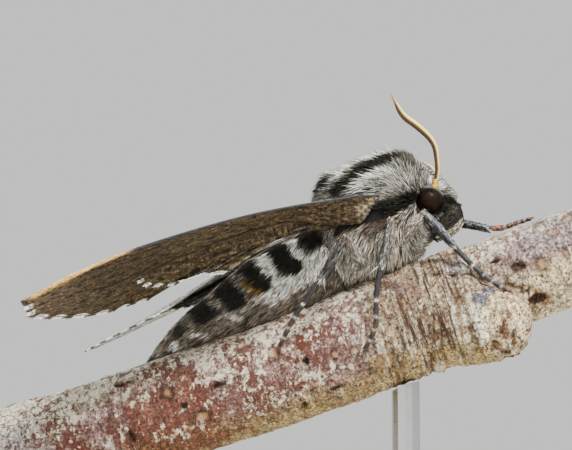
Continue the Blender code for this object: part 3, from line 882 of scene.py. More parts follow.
@dataclass
class Tufts:
    """Thin tapering tufts, each a closed blade with a ridge along it.

    Every value but the last two has one row or number for each tuft: where it is rooted, the way
    out of the skin there, the way that it lies, its length and width in millimetres, how many
    degrees it rises from the skin at its root and at its tip, how many degrees it bends sideways,
    its colour and its place on the skin's unwrap. Flat is the ridge's height as a share of the
    width, and sink is how many millimetres the root is under the skin.
    """

    place: Array
    out: Array
    lie: Array
    length: Array
    width: Array
    rise: Array
    fall: Array
    bend: Array
    colour: Array
    unwrap: Array
    flat: float = 0.45
    sink: float = 0.08

    PROFILE = ((0.0, 0.6), (0.3, 1.0), (0.66, 0.74))
    PATCH = 0.003

    def build(self, name: str) -> Piece:
        """Make the tufts' mesh.

        Args:
            name: The piece's name.

        Returns:
            The piece, with its markings.
        """
        count = len(self.place)
        lie = unit(self.lie - self.out * np.sum(self.lie * self.out, axis=1, keepdims=True))
        across = unit(np.cross(self.out, lie))
        stations = [share for share, _ in self.PROFILE] + [1.0]
        rings = len(self.PROFILE)
        here = self.place - self.out * self.sink
        lines, ways = [here], []
        for start, end in zip(stations, stations[1:]):
            share = (start + end) / 2
            rise = np.radians(self.rise * (1 - share) + self.fall * share)[:, None]
            bend = np.radians(self.bend * share)[:, None]
            flat_way = lie * np.cos(bend) + across * np.sin(bend)
            way = flat_way * np.cos(rise) + self.out * np.sin(rise)
            here = here + way * (self.length * (end - start))[:, None]
            lines.append(here)
            ways.append(way)
        points, patch = [], []
        for k, (_, share) in enumerate(self.PROFILE):
            side = unit(np.cross(self.out, ways[k]))
            up = np.cross(ways[k], side)
            half = (self.width * share / 2)[:, None]
            points += [lines[k] - side * half, lines[k] + side * half, lines[k] + up * half * 2 * self.flat]
            patch += [(across_it, k / rings - 0.5) for across_it in (-0.5, 0.5, 0.0)]
        points.append(lines[-1])
        patch.append((0.0, 0.5))
        places = np.stack(points, axis=1).reshape(-1, 3)
        size = len(points)
        edges = ((0, 1), (1, 2), (2, 0))
        faces = [(2, 1, 0)]
        for k in range(0, size - 4, 3):
            for a, b in edges:
                faces += [(k + a, k + b, k + b + 3), (k + a, k + b + 3, k + a + 3)]
        faces += [(size - 4 + a, size - 4 + b, size - 1) for a, b in edges]
        block = (np.arange(count)[:, None, None] * size + np.array(faces)[None]).reshape(-1, 3)
        made = make_piece(name, places, [block])
        write_values(made, "tip", np.tile([*np.repeat(stations[:-1], 3), 1.0], count))
        write_values(made, "marking", np.repeat(self.colour, size, axis=0))
        spread = (self.unwrap[:, None, :] + np.array(patch)[None] * self.PATCH).reshape(-1, 2)
        write_unwrap(made, np.clip(spread, 0.0, 1.0))
        return made


@dataclass
class Rod:
    """A round, tapering form along a smooth path, such as a joint of a leg.

    Shape gives how much a ring swells, by the share of the way along and the turns round it.
    """

    path: Sequence
    radii: Sequence[float]
    side: Side = Side.LEFT
    steps: int = 8
    sides: int = 20
    shape: Callable[[Array, Array], Array] = everywhere

    CAPS = (0.5, 0.86)
    CAP_HEIGHT = 0.6
    CAP_STEP = 0.01

    def bed(self) -> Bed:
        """Lay the rings of the form.

        Returns:
            The bed, whose rows are numbered by millimetres along the path.
        """
        rows = smooth_path([(*place, radius) for place, radius in zip(self.path, self.radii)], self.steps)
        line, radius = mirrored(rows[:, :3], self.side), rows[:, 3]
        way = unit(np.gradient(line, axis=0))
        along = reach_along(line)
        up = np.array([0.0, 0.0, 1.0]) if abs(way[0][2]) < 0.9 else np.array([1.0, 0.0, 0.0])
        turns = np.arange(self.sides) * ROUND / self.sides
        rings = []
        for place, ahead, size, reach in zip(line, way, radius, along):
            up = unit(up - ahead * (up @ ahead))
            across = np.cross(ahead, up)
            swell = self.shape(np.full(self.sides, reach / along[-1]), turns)
            ring = up * np.cos(turns)[:, None] + across * np.sin(turns)[:, None]
            rings.append(place + ring * (size * swell)[:, None])
        start, end = ([line[k] + (rings[k] - line[k]) * share
                       + out * way[k] * radius[k] * (1 - share) * self.CAP_HEIGHT
                       for share in self.CAPS] for k, out in ((0, -1), (-1, 1)))
        step = along[-1] * self.CAP_STEP
        number = np.concatenate([[-2 * step, -step], along, [along[-1] + step, along[-1] + 2 * step]])
        return Bed(np.array([*start, *rings, *end[::-1]]), number)

    def skin(self, name: str) -> Piece:
        """Make the mesh of the form.

        Args:
            name: The piece's name.

        Returns:
            The piece, with its grain: millimetres along it and the place round it.
        """
        bed = self.bed()
        made = bed.skin(name)
        turn = np.radians(bed.turns())
        along = np.repeat(bed.rows, self.sides)
        size = np.linalg.norm(bed.grid - bed.grid.mean(axis=1, keepdims=True), axis=-1).ravel()
        grain = np.column_stack([along, np.tile(np.cos(turn), len(bed.rows)) * size,
                                 np.tile(np.sin(turn), len(bed.rows)) * size])
        ends = [[bed.rows[0], 0, 0], [bed.rows[-1], 0, 0]]
        write_values(made, "grain", np.vstack([grain, ends]))
        return made


@dataclass
class Workshop:
    """Dresses pieces, sets them on the frame and reports them."""

    pieces: int = 0
    faces: int = 0

    def hand_in(self, piece: Piece, finish: Material, slot: str, *nodes: str) -> None:
        """Finish a piece.

        Args:
            piece: The piece, in its place.
            finish: Its material.
            slot: Not used.
            nodes: The CAD nodes that it stands for.
        """
        piece.data.materials.clear()
        piece.data.materials.append(finish)
        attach(piece, "root")
        if nodes:
            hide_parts(*nodes)
        self.pieces += 1
        self.faces += len(piece.data.polygons)
        LOG.info("%s: %d faces", piece.name, len(piece.data.polygons))

    def dress(self, node: str, finish: Material) -> None:
        """Give a CAD node that stays its material."""
        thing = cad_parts[node]
        thing.data.materials.clear()
        thing.data.materials.append(finish)
        LOG.info("%s keeps its CAD shape", node)


# Body

HEAD_SECTIONS = [((13.85, 6.1), (14.0, -1.1), 3.0), ((14.9, 5.35), (14.8, -1.15), 3.05),
                 ((16.1, 4.35), (15.7, -0.6), 2.5), ((17.0, 3.4), (16.5, 0.5), 1.8),
                 ((17.45, 2.4), (17.25, 1.3), 0.9)]
THORAX_SECTIONS = [((2.75, 1.0), (6.4, -6.9), 4.1), ((3.3, 3.4), (7.3, -6.5), 4.7),
                   ((4.7, 5.2), (8.4, -5.9), 5.1), ((6.5, 6.1), (9.7, -5.4), 5.3),
                   ((8.6, 6.9), (11.0, -5.0), 5.2), ((10.5, 7.2), (12.2, -4.6), 4.8),
                   ((12.1, 6.9), (13.2, -3.4), 4.1), ((13.3, 6.2), (13.65, -1.4), 3.1)]
ABDOMEN_SECTIONS = [((2.4, 0.88), (6.1, -7.02), 4.0), ((0.4, -0.9), (4.1, -8.3), 4.15),
                    ((-2.1, -2.5), (1.5, -9.4), 3.95), ((-5.0, -4.45), (-1.7, -10.6), 3.45),
                    ((-7.6, -6.7), (-4.8, -11.5), 2.75), ((-10.6, -9.2), (-8.4, -12.6), 1.95),
                    ((-12.7, -11.6), (-11.3, -13.6), 1.15), ((-14.0, -13.4), (-13.5, -13.9), 0.4)]
THORAX_ROW = 8.0
HEAD_ROW = 16.0

BLACK = (0.012, 0.011, 0.009)
SOOT = (0.03, 0.027, 0.022)
UMBER = (0.075, 0.055, 0.042)
MAROON = (0.045, 0.024, 0.017)
TAUPE = (0.17, 0.148, 0.12)
# The chest's pale ground: partly its own paler fur, partly painted light on the shaded underside of the
# thorax.
CHEST_PAINTED_LIGHT = (0.50, 0.46, 0.40)
GREY = (0.19, 0.184, 0.163)
SILVER = (0.33, 0.333, 0.305)
PEARL = (0.60, 0.595, 0.555)
WHITE = (0.85, 0.84, 0.79)
OCHRE = (0.27, 0.17, 0.035)
RUST = (0.42, 0.14, 0.04)
CREAM = (0.62, 0.50, 0.27)
BACK_BROWN = (0.12, 0.105, 0.085)
BELLY_BROWN = (0.12, 0.098, 0.075)
FACE_BLACK = (0.011, 0.0098, 0.0065)
CHEEK_BLACK = (0.014, 0.012, 0.008)


@dataclass(frozen=True)
class Stroke:
    """One marking on the coat.

    Its line is given as sections and turns in degrees, its half width and the softness of its
    edge in millimetres. It is alike on both sides.
    """

    line: tuple[tuple[float, float], ...]
    width: float
    soft: float
    shade: Shade
    strength: float = 1.0

    MM_PER_SECTION = 1.8
    MM_PER_DEGREE = 0.085
    DOT = 1e-6

    def weight(self, row: Array, turn: Array) -> Array:
        """Find how much of the marking shows.

        Args:
            row: The sections.
            turn: The turns in degrees.

        Returns:
            A weight from 0 to 1 for each.
        """
        here = np.column_stack([row * self.MM_PER_SECTION, np.abs(turn) * self.MM_PER_DEGREE])
        line = np.array(self.line) * (self.MM_PER_SECTION, self.MM_PER_DEGREE)
        nearest = np.full(len(here), 1e9)
        for a, b in zip(line, line[1:]) if len(line) > 1 else [(line[0], line[0] + self.DOT)]:
            share = np.clip((here - a) @ (b - a) / ((b - a) @ (b - a)), 0, 1)
            nearest = np.minimum(nearest, np.linalg.norm(here - a - share[:, None] * (b - a), axis=1))
        return self.strength * (1 - smooth_step(self.width - self.soft, self.width + self.soft, nearest))


@dataclass(frozen=True)
class Lie:
    """The way that the coat lies at one section and turn.

    The angle is 0 towards the tail, 90 towards the belly, 180 towards the face and -90 towards
    the ridge of the back.
    """

    row: float
    turn: float
    angle: float


@dataclass
class Body:
    """The body's skin and its coat."""

    rows_per_section: int = 8
    columns: int = 96
    thorax_marks: tuple[Stroke, ...] = (
        Stroke(((3.0, 10), (4.4, 12)), 1.5, 0.5, SILVER, 0.8),
        Stroke(((1.9, 16), (2.9, 22), (3.9, 22), (4.7, 16)), 0.5, 0.3, PEARL, 0.9),
        Stroke(((5.9, 0), (6.4, 30), (6.5, 55)), 0.9, 0.6, UMBER, 0.55),
        Stroke(((5.7, 6), (6.5, 14)), 0.8, 0.4, SOOT, 0.8),
        Stroke(((6.0, 68), (4.9, 64), (3.9, 68), (3.0, 70), (2.2, 70)), 1.0, 0.55, SILVER, 0.6),
        Stroke(((4.8, 52), (4.2, 54), (3.5, 59), (2.8, 65)), 0.36, 0.25, WHITE, 0.75),
        Stroke(((5.3, 18), (4.6, 32), (4.0, 41), (3.3, 48), (2.7, 53), (2.1, 58)), 0.74, 0.14, BLACK),
        Stroke(((1.5, 36), (1.2, 8)), 0.75, 0.2, BLACK),
        Stroke(((2.4, 32), (2.0, 38)), 0.34, 0.15, WHITE),
        Stroke(((0.4, 40), (0.3, 5)), 0.4, 0.2, SILVER, 0.8),
        Stroke(((2.7, 8), (2.3, 16)), 0.5, 0.3, PEARL, 0.8),
        Stroke(((6.3, 78), (6.5, 95)), 0.7, 0.4, UMBER, 0.7),
        Stroke(((7.0, 95), (6.5, 94), (5.35, 92), (4.3, 95), (3.35, 98), (2.4, 97), (1.4, 94)),
               0.8, 0.16, BLACK),
        Stroke(((3.9, 108), (2.8, 110)), 0.65, 0.35, MAROON, 0.9),
        Stroke(((4.9, 112), (5.6, 125)), 0.4, 0.3, UMBER, 0.6),
        Stroke(((3.3, 118), (3.0, 140)), 0.25, 0.2, UMBER, 0.6),
        Stroke(((6.3, 112), (6.0, 150)), 1.1, 0.5, SILVER, 0.8),
        Stroke(((5.4, 120), (4.9, 150)), 0.5, 0.3, SILVER, 0.7),
        Stroke(((2.6, 124), (2.2, 150)), 0.6, 0.4, SILVER, 0.6),
        Stroke(((2.3, 72),), 0.2, 0.08, RUST),
        Stroke(((1.55, 104),), 0.2, 0.08, RUST, 0.4),
        Stroke(((4.6, 141),), 0.2, 0.08, RUST),
        Stroke(((1.3, 112), (0.6, 126)), 0.8, 0.4, GREY, 0.7),
    )
    abdomen_marks: tuple[Stroke, ...] = (
        Stroke(((0.1, 98), (1.2, 102), (2.0, 104)), 1.35, 0.45, PEARL, 0.95),
        Stroke(((2.3, 104), (3.2, 106)), 0.5, 0.5, SILVER, 0.5),
        Stroke(((0.75, 48), (0.5, 66), (0.35, 80)), 0.62, 0.22, BLACK),
        Stroke(((1.15, 44), (1.1, 78)), 0.36, 0.14, WHITE),
        Stroke(((1.85, 24), (1.65, 62), (1.4, 88)), 0.72, 0.12, BLACK),
        Stroke(((2.22, 34), (2.15, 78)), 0.36, 0.14, WHITE),
        Stroke(((2.8, 20), (2.65, 70), (2.55, 92)), 0.6, 0.14, BLACK),
        Stroke(((3.1, 40), (3.05, 84)), 0.26, 0.14, GREY),
        Stroke(((3.65, 20), (3.55, 70), (3.45, 94)), 0.66, 0.2, BLACK),
        Stroke(((4.55, 20), (4.45, 64), (4.4, 88)), 0.6, 0.2, BLACK),
        Stroke(((5.3, 44), (5.25, 80)), 0.45, 0.2, SOOT),
        Stroke(((2.94, 62), (2.89, 80), (2.79, 97)), 0.12, 0.04, OCHRE, 0.9),
        Stroke(((2.62, 100), (2.45, 122)), 0.13, 0.12, WHITE),
        Stroke(((3.98, 98), (3.62, 124)), 0.11, 0.1, WHITE, 0.95),
        Stroke(((4.95, 100), (4.6, 130)), 0.11, 0.1, WHITE, 0.95),
        Stroke(((5.75, 84), (5.7, 118)), 0.24, 0.24, WHITE, 0.8),
    )
    head_marks: tuple[Stroke, ...] = (
        Stroke(((0.6, 20), (2.2, 28), (4.3, 48)), 1.6, 0.5, SILVER, 0.9),
        Stroke(((0.8, 50), (1.7, 52)), 0.6, 0.25, WHITE, 0.9),
        Stroke(((-0.3, 84), (0.2, 112)), 0.95, 0.25, BLACK),
        Stroke(((0.5, 95), (1.6, 95)), 1.75, 0.25, BLACK),
        Stroke(((2.5, 86), (4.4, 104), (3.0, 135)), 1.3, 0.3, FACE_BLACK),
        Stroke(((0.7, 110), (2.8, 120)), 1.0, 0.25, CHEEK_BLACK),
        Stroke(((0.4, 160), (1.2, 160)), 0.8, 0.4, GREY, 0.8),
    )
    thorax_lies: tuple[Lie, ...] = (
        Lie(6.6, 72, -70), Lie(6.4, 45, -75), Lie(6.2, 15, -50), Lie(5.6, 75, -38), Lie(5.3, 52, -30),
        Lie(5.2, 5, -8), Lie(4.5, 58, -6), Lie(4.5, 78, 0), Lie(4.0, 15, 0), Lie(3.5, 62, 4),
        Lie(2.5, 60, 2), Lie(2.0, 20, -4), Lie(0.8, 15, -4), Lie(0.8, 60, 5), Lie(5.3, 92, -6),
        Lie(6.6, 95, -20),
        Lie(4.0, 98, 14), Lie(2.5, 92, 12), Lie(5.4, 115, 82), Lie(4.0, 120, 74), Lie(2.5, 115, 52),
        Lie(6.1, 126, 108), Lie(6.3, 150, 118), Lie(4.0, 150, 78), Lie(1.5, 120, 48), Lie(1.0, 150, 44),
        Lie(4.0, 178, 40))
    abdomen_lies: tuple[Lie, ...] = (
        Lie(0.2, 60, 34), Lie(0.3, 95, 44), Lie(1.2, 100, 32), Lie(2.0, 60, 14), Lie(2.2, 95, 18),
        Lie(2.0, 150, 12), Lie(4.0, 70, 6), Lie(4.0, 120, 8), Lie(6.0, 80, 0), Lie(0.5, 5, 0),
        Lie(3.0, 5, 0), Lie(6.0, 170, 0))
    head_lies: tuple[Lie, ...] = (
        Lie(0.3, 15, -70), Lie(0.3, 45, -95), Lie(0.2, 75, -80), Lie(1.2, 15, -150), Lie(1.4, 42, -150),
        Lie(2.6, 20, 175), Lie(3.6, 40, 165), Lie(3.2, 90, 150), Lie(1.8, 125, 130), Lie(0.4, 130, 60),
        Lie(0.8, 165, 60), Lie(0.2, 100, 20))

    GRAIN = Grain(SEED)
    DOME = ((0.2, 0.82), (0.36, 0.5), (0.44, 0.2))
    THINNEST = 0.2
    WAIST = (7.2, 7.8)
    NECK = (15.2, 15.8)
    RAGGED_ROWS = 0.09
    RAGGED_TURNS = 2.2
    LIE_SOFTNESS = 0.15
    LIE_FADE = 1.5

    def sections(self) -> Array:
        """Line up the skin's sections from tail to face, each within the coat."""
        rows = []
        for segment, sections in ((Segment.ABDOMEN, ABDOMEN_SECTIONS[::-1]),
                                  (Segment.THORAX, THORAX_SECTIONS), (Segment.HEAD, HEAD_SECTIONS)):
            for top, bottom, half in sections:
                top, bottom = np.array(top), np.array(bottom)
                middle, up = (top + bottom) / 2, (top - bottom) / 2
                up *= max(1 - segment.value / np.linalg.norm(up), self.THINNEST)
                rows.append([*middle, *up, max(half - segment.value, self.THINNEST)])
        return np.array(rows)

    def bed(self) -> Bed:
        """Lay the skin's rings, with a dome over the face."""
        rows = smooth_path(self.sections(), self.rows_per_section)
        turn = np.arange(self.columns) * ROUND / self.columns
        face, before = rows[-1], rows[-1 - self.rows_per_section]
        ahead = unit(face[:2] - before[:2])
        dome = [[*(face[:2] + ahead * reach), *(face[2:] * size)] for reach, size in self.DOME]
        rows = np.vstack([rows, dome])
        number = np.arange(len(rows)) / self.rows_per_section
        x = rows[:, :1] + rows[:, 2:3] * np.cos(turn)
        z = rows[:, 1:2] + rows[:, 3:4] * np.cos(turn)
        y = rows[:, 4:5] * np.sin(turn)
        return Bed(np.stack([x, y, z], axis=-1), number)

    def split(self, row: Array) -> list[tuple[Segment, Array, Array]]:
        """Tell which segment each row is in.

        Args:
            row: Rows along the whole body, from the tail.

        Returns:
            Each segment with its weight at every row and with its own sections there.
        """
        waist, neck = smooth_step(*self.WAIST, row), smooth_step(*self.NECK, row)
        return [(Segment.ABDOMEN, 1 - waist, THORAX_ROW - 1 - row),
                (Segment.THORAX, waist * (1 - neck), row - THORAX_ROW),
                (Segment.HEAD, neck, row - HEAD_ROW)]

    def markings(self, row: Array, turn: Array, place: Array) -> Array:
        """Colour the coat or the skin.

        Args:
            row: Rows along the whole body.
            turn: Turns in degrees.
            place: The places, which unsettle the markings' edges.

        Returns:
            A colour for each.
        """
        row = row + self.RAGGED_ROWS * self.GRAIN.layered(place, 0.7)
        turn = turn + self.RAGGED_TURNS * self.GRAIN.layered(place + 40, 0.8) * np.sign(turn)
        off_ridge, grey = np.abs(turn), filled(GREY, len(row))
        taupe = washed(filled(TAUPE, len(row)), (BACK_BROWN, smooth_fall(12, 28, off_ridge)),
                       (BELLY_BROWN, smooth_step(104, 128, off_ridge) * 0.7))
        # The thorax's underside takes the chest's pale ground, with painted light in it.
        grounds = {Segment.ABDOMEN: (taupe, self.abdomen_marks),
                   Segment.THORAX: (blend(grey, CHEST_PAINTED_LIGHT, smooth_step(98, 112, off_ridge)), self.thorax_marks),
                   Segment.HEAD: (grey, self.head_marks)}
        total = np.zeros((len(row), 3))
        for segment, weight, own in self.split(row):
            ground, marks = grounds[segment]
            shade = washed(ground, *((mark.shade, mark.weight(own, turn)) for mark in marks))
            total += shade * weight[:, None]
        return total

    def lies(self, roots: Roots) -> Array:
        """Find the way that the coat lies at roots.

        Args:
            roots: The roots.

        Returns:
            A unit vector along the skin for each.
        """
        on, round_it = unit(roots.on), unit(roots.round) * np.where(roots.turn >= 0, 1, -1)[:, None]
        total = np.zeros_like(on)
        guides = {Segment.ABDOMEN: self.abdomen_lies, Segment.THORAX: self.thorax_lies,
                  Segment.HEAD: self.head_lies}
        for segment, weight, own in self.split(roots.row):
            way = np.zeros_like(on)
            for guide in guides[segment]:
                far = ((own - guide.row) * Stroke.MM_PER_SECTION) ** 2
                far = far + ((np.abs(roots.turn) - guide.turn) * Stroke.MM_PER_DEGREE) ** 2
                angle = math.radians(guide.angle)
                guided = -on * math.cos(angle) + round_it * math.sin(angle)
                way += guided / (far[:, None] + self.LIE_SOFTNESS) ** self.LIE_FADE
            total += unit(way) * weight[:, None]
        return unit(total)


EYE_CENTRE = (14.7, 2.55, 1.8)
EYE_RADIUS = 1.35
SNOUT = (17.9, 0.0, 1.8)
FLANK_BEND = 1.9
WING_CORNERS = {Side.LEFT: ((9.4, 4.75, 2.1), (-23.0, 19.0, -10.4), (-13.7, 4.5, -8.45)),
                Side.RIGHT: ((9.4, 4.75, 2.1), (-23.5, 19.0, -9.95), (-13.7, 4.5, -8.2))}


def from_eye(places: Array) -> Array:
    """Find how far places are from the middle of the eye on their own side."""
    return np.linalg.norm(np.where((False, True, False), np.abs(places), places) - EYE_CENTRE, axis=1)


def wing_frame(side: Side) -> tuple[Array, Array, Array, Array]:
    """Span the plane of a side's wings: their root, the ways along, back across and out under them."""
    root, apex, tornus = (np.array(corner, float) for corner in WING_CORNERS[side])
    along = unit(apex - root)
    back = unit((tornus - root) - ((tornus - root) @ along) * along)
    return root, along, back, np.cross(back, along)


def flank_bend(s: Array, c: Array) -> Array:
    """Find how far the wings' base bends down over the flank, at millimetres along and back."""
    return FLANK_BEND * smooth_fall(3.0, 9.5, s) * smooth_step(-1.2 - 0.15 * s, -0.1 + 0.5 * s, c)


def covers_wing(place: Array, lie: Array, out: Array, length: float) -> Array:
    """Tell which hairs would lie over the underside of a wing's base.

    Args:
        place: The hairs' roots.
        lie: The ways that they lie.
        out: The ways out of the skin.
        length: Their length in millimetres.

    Returns:
        True for each hair that hides the wing.
    """
    hiding = np.zeros(len(place), bool)
    to_left = np.where(place[:, 1:2] >= 0, (1, 1, 1), (1, -1, 1))
    root, along, back, under = wing_frame(Side.RIGHT)
    for share in (0.5, 0.75, 1.0):
        here = (place + (lie * 0.94 + out * 0.3) * length * share) * to_left
        s, c, depth = ((here - root) @ way for way in (along, back, under))
        off = depth - flank_bend(s, c)
        at_base = (s > 0.3) & (s < 9) & (c > -1.1 - 0.33 * s) & (c < 0.1 + 0.4 * s)
        hiding |= at_base & (off > -0.2) & (off < 1.3)
    return hiding


@dataclass(frozen=True)
class Growth:
    """One kind of hair on a region of the body.

    The region is given as rows and turns. Lengths and widths are in millimetres, rise and fall
    in degrees at root and tip, and wild is how many degrees the hairs stray. Pepper is how uneven
    their colours are, dark the share of dark hairs, and fleck how much whole locks differ.
    """

    name: str
    rows: Pair
    turns: Pair
    density: float
    length: float
    width: float
    rise: float
    fall: float
    wild: float = 9.0
    pepper: float = 0.38
    dark: float = 0.24
    fleck: float = 0.0
    sides: tuple[Side, ...] = (Side.LEFT, Side.RIGHT)

    CLUMP = Grain(SEED + 3)
    EDGE_ROWS = 0.25
    EYE_GAP = 0.08
    SEEN_SHARE = 0.62
    DARK_LIGHT = 0.22
    WARM_HAIRS = 0.12
    WARM_LIGHT = (1.05, 0.82, 0.6)
    LIGHTEST = 0.86

    def weight(self, row: Array, turn: Array) -> Array:
        """Find how thickly the hair grows at rows and turns."""
        low, high = self.rows
        share = smooth_step(low - self.EDGE_ROWS, low + self.EDGE_ROWS, row)
        share = share * smooth_fall(high - self.EDGE_ROWS, high + self.EDGE_ROWS, row)
        first, last = self.turns
        inside = (np.abs(turn) >= first) & (np.abs(turn) <= last)
        if len(self.sides) == 1:
            inside &= turn * self.sides[0].value >= 0
        return share * inside

    def grow(self, body: Body, bed: Bed, draw: np.random.Generator) -> Piece:
        """Grow the hair.

        Args:
            body: Tells the lie and the markings.
            bed: The skin that it grows on.
            draw: What the chances are drawn from.

        Returns:
            The piece.
        """
        roots = bed.scatter(self.density, self.weight, draw)
        roots = roots.only(from_eye(roots.place) > EYE_RADIUS + self.EYE_GAP)
        lie = body.lies(roots)
        shown = ~covers_wing(roots.place, lie, roots.out, self.length)
        roots, lie = roots.only(shown), lie[shown]
        clump, luck = self.CLUMP, Luck(draw, len(roots.row))
        length = luck.times(self.length, 0.7, 1.2) * (1 + 0.2 * clump.at(roots.place, 1.6))
        length *= 1 - 0.45 * (roots.row > 7.5) * smooth_fall(8.4, 10.4, roots.row)
        seen = roots.place + lie * (self.SEEN_SHARE * length)[:, None]
        length *= 0.2 + 0.8 * smooth_step(0.7, 1.4, np.linalg.norm(seen - SNOUT, axis=1))
        reach = self.SEEN_SHARE * length
        on_rate, round_rate = (np.sum(lie * way, axis=1) / np.sum(way ** 2, axis=1)
                               for way in (roots.on, roots.round))
        row = luck.about(roots.row + on_rate * reach, 0.03)
        colour = self.peppered(body.markings(row, roots.turn + round_rate * reach, seen), roots.place, luck)
        length = length * np.where(from_eye(seen + roots.out * 0.3) < EYE_RADIUS + 0.2, 0.55, 1.0)
        return Tufts(
            place=roots.place, out=roots.out, lie=lie, length=length, width=luck.times(self.width, 0.7, 1.3),
            rise=luck.about(self.rise, self.wild * 0.6) + 6 * clump.at(roots.place + 9, 1.2),
            fall=luck.about(self.fall, self.wild),
            bend=luck.about(0, self.wild) + 16 * clump.at(roots.place + 21, 1.1),
            colour=colour, unwrap=bed.unwrap_of(roots)).build(self.name)

    def peppered(self, colour: Array, place: Array, luck: Luck) -> Array:
        """Make hairs differ in colour, some of them dark and some warm.

        Args:
            colour: The colour of the marking that each is in.
            place: Where each is rooted.
            luck: What the differences are drawn from.

        Returns:
            A colour for each hair.
        """
        spread = np.clip(luck.about(0, 1) + self.fleck * self.CLUMP.at(place + 5, 0.38), -2.2, 2.2)
        level = colour.mean(axis=1)
        pepper = self.pepper * np.where(level < 0.05, 0.5, 1.0)
        colour = colour * np.exp(pepper * spread)[:, None]
        pale = 1 - 0.55 * smooth_step(0.4, 0.7, level)
        dark = luck.draw.random(luck.count) < self.dark * smooth_step(0.05, 0.15, level) * pale
        colour[dark] *= self.DARK_LIGHT
        warm = luck.draw.random(luck.count) < self.WARM_HAIRS * smooth_step(0.05, 0.2, level)
        colour[warm] *= self.WARM_LIGHT
        return np.clip(colour, 0.0, self.LIGHTEST)


@dataclass
class Coat:
    """The hair of the whole body, in pieces."""

    growths: tuple[Growth, ...] = (
        Growth("coat_abdomen_right", (0.0, 7.4), (0, 180), 65, 1.05, 0.095, 16, 4, 6, 0.5, 0.3, 1.6,
               sides=(Side.RIGHT,)),
        Growth("coat_abdomen_left", (0.0, 7.4), (0, 180), 60, 1.1, 0.1, 16, 4, 6, 0.5, 0.3, 1.6,
               sides=(Side.LEFT,)),
        Growth("coat_back", (8.0, 13.0), (0, 62), 48, 2.1, 0.12, 26, 10, 10),
        Growth("coat_side_right", (7.6, 14.0), (40, 106), 48, 1.8, 0.12, 22, 6, 8, sides=(Side.RIGHT,)),
        Growth("coat_side_left", (7.6, 14.0), (40, 106), 48, 1.8, 0.12, 22, 6, 8, sides=(Side.LEFT,)),
        Growth("coat_chest", (7.8, 15.4), (98, 180), 46, 1.8, 0.11, 26, 12, 12, 0.45, 0.17, 0.8),
        Growth("coat_rear", (8.2, 9.9), (6, 50), 55, 1.9, 0.13, 46, 22, 12),
        Growth("coat_collar", (12.6, 15.7), (0, 100), 62, 1.6, 0.1, 38, 18, 10),
        Growth("coat_head", (15.7, 20.3), (0, 180), 78, 0.82, 0.085, 28, 14, 9),
    )

    def build(self, body: Body, bed: Bed, shop: Workshop, finish: Material) -> None:
        """Grow every piece of the coat.

        Args:
            body: The body.
            bed: Its skin's bed.
            shop: Where pieces are handed in.
            finish: The coat's material.
        """
        for number, growth in enumerate(self.growths):
            draw = np.random.default_rng(SEED * 100 + number)
            piece = growth.grow(body, bed, draw)
            shop.hand_in(piece, finish, "banded_fur" if "abdomen" in growth.name else "fur")


def build_skin(body: Body, bed: Bed, shop: Workshop, finish: Material) -> None:
    """Make the one skin of head, thorax and abdomen, its markings darkened as painted shade under the coat.
    """
    piece = bed.skin("skin")
    columns = bed.grid.shape[1]
    row = np.concatenate([np.repeat(bed.rows, columns), [bed.rows[0], bed.rows[-1]]])
    turn = np.concatenate([np.tile(bed.turns(), len(bed.rows)), [0.0, 0.0]])
    # The skin gets the coat's markings at 0.6 and a low tip share: painted shade under the coat.
    write_values(piece, "marking", body.markings(row, turn, read_places(piece)) * 0.6)
    write_values(piece, "tip", np.full(len(row), 0.35))
    shop.hand_in(piece, finish, "fur", "head", "thorax", "abdomen")


# Head parts

PALP_AXIS = [(14.9, 1.3, -1.35), (16.0, 1.4, -0.7), (16.9, 1.4, 0.3), (17.1, 1.3, 1.4)]
PALP_RADII = [0.6, 0.95, 1.1, 0.8]
RIGHT_ANTENNA = [(15.15, 2.0, 3.3), (15.45, 2.5, 4.75), (15.45, 2.9, 5.9), (15.25, 3.4, 7.2),
                 (14.6, 3.8, 8.2), (13.5, 4.4, 9.15), (12.5, 4.8, 9.85), (11.9, 5.15, 10.55),
                 (11.5, 5.5, 11.3), (11.1, 5.8, 12.1)]
LEFT_ANTENNA = [(15.15, 2.0, 3.3), (15.1, 2.3, 4.6), (14.8, 2.7, 5.7), (14.1, 3.4, 6.4),
                (13.0, 4.5, 6.7), (11.7, 5.7, 6.7), (10.5, 6.8, 6.6), (9.5, 7.8, 6.5),
                (8.7, 8.6, 6.5), (7.9, 9.3, 6.7)]
ANTENNA_RADII = [0.24, 0.25, 0.27, 0.3, 0.34, 0.37, 0.36, 0.3, 0.18, 0.06]


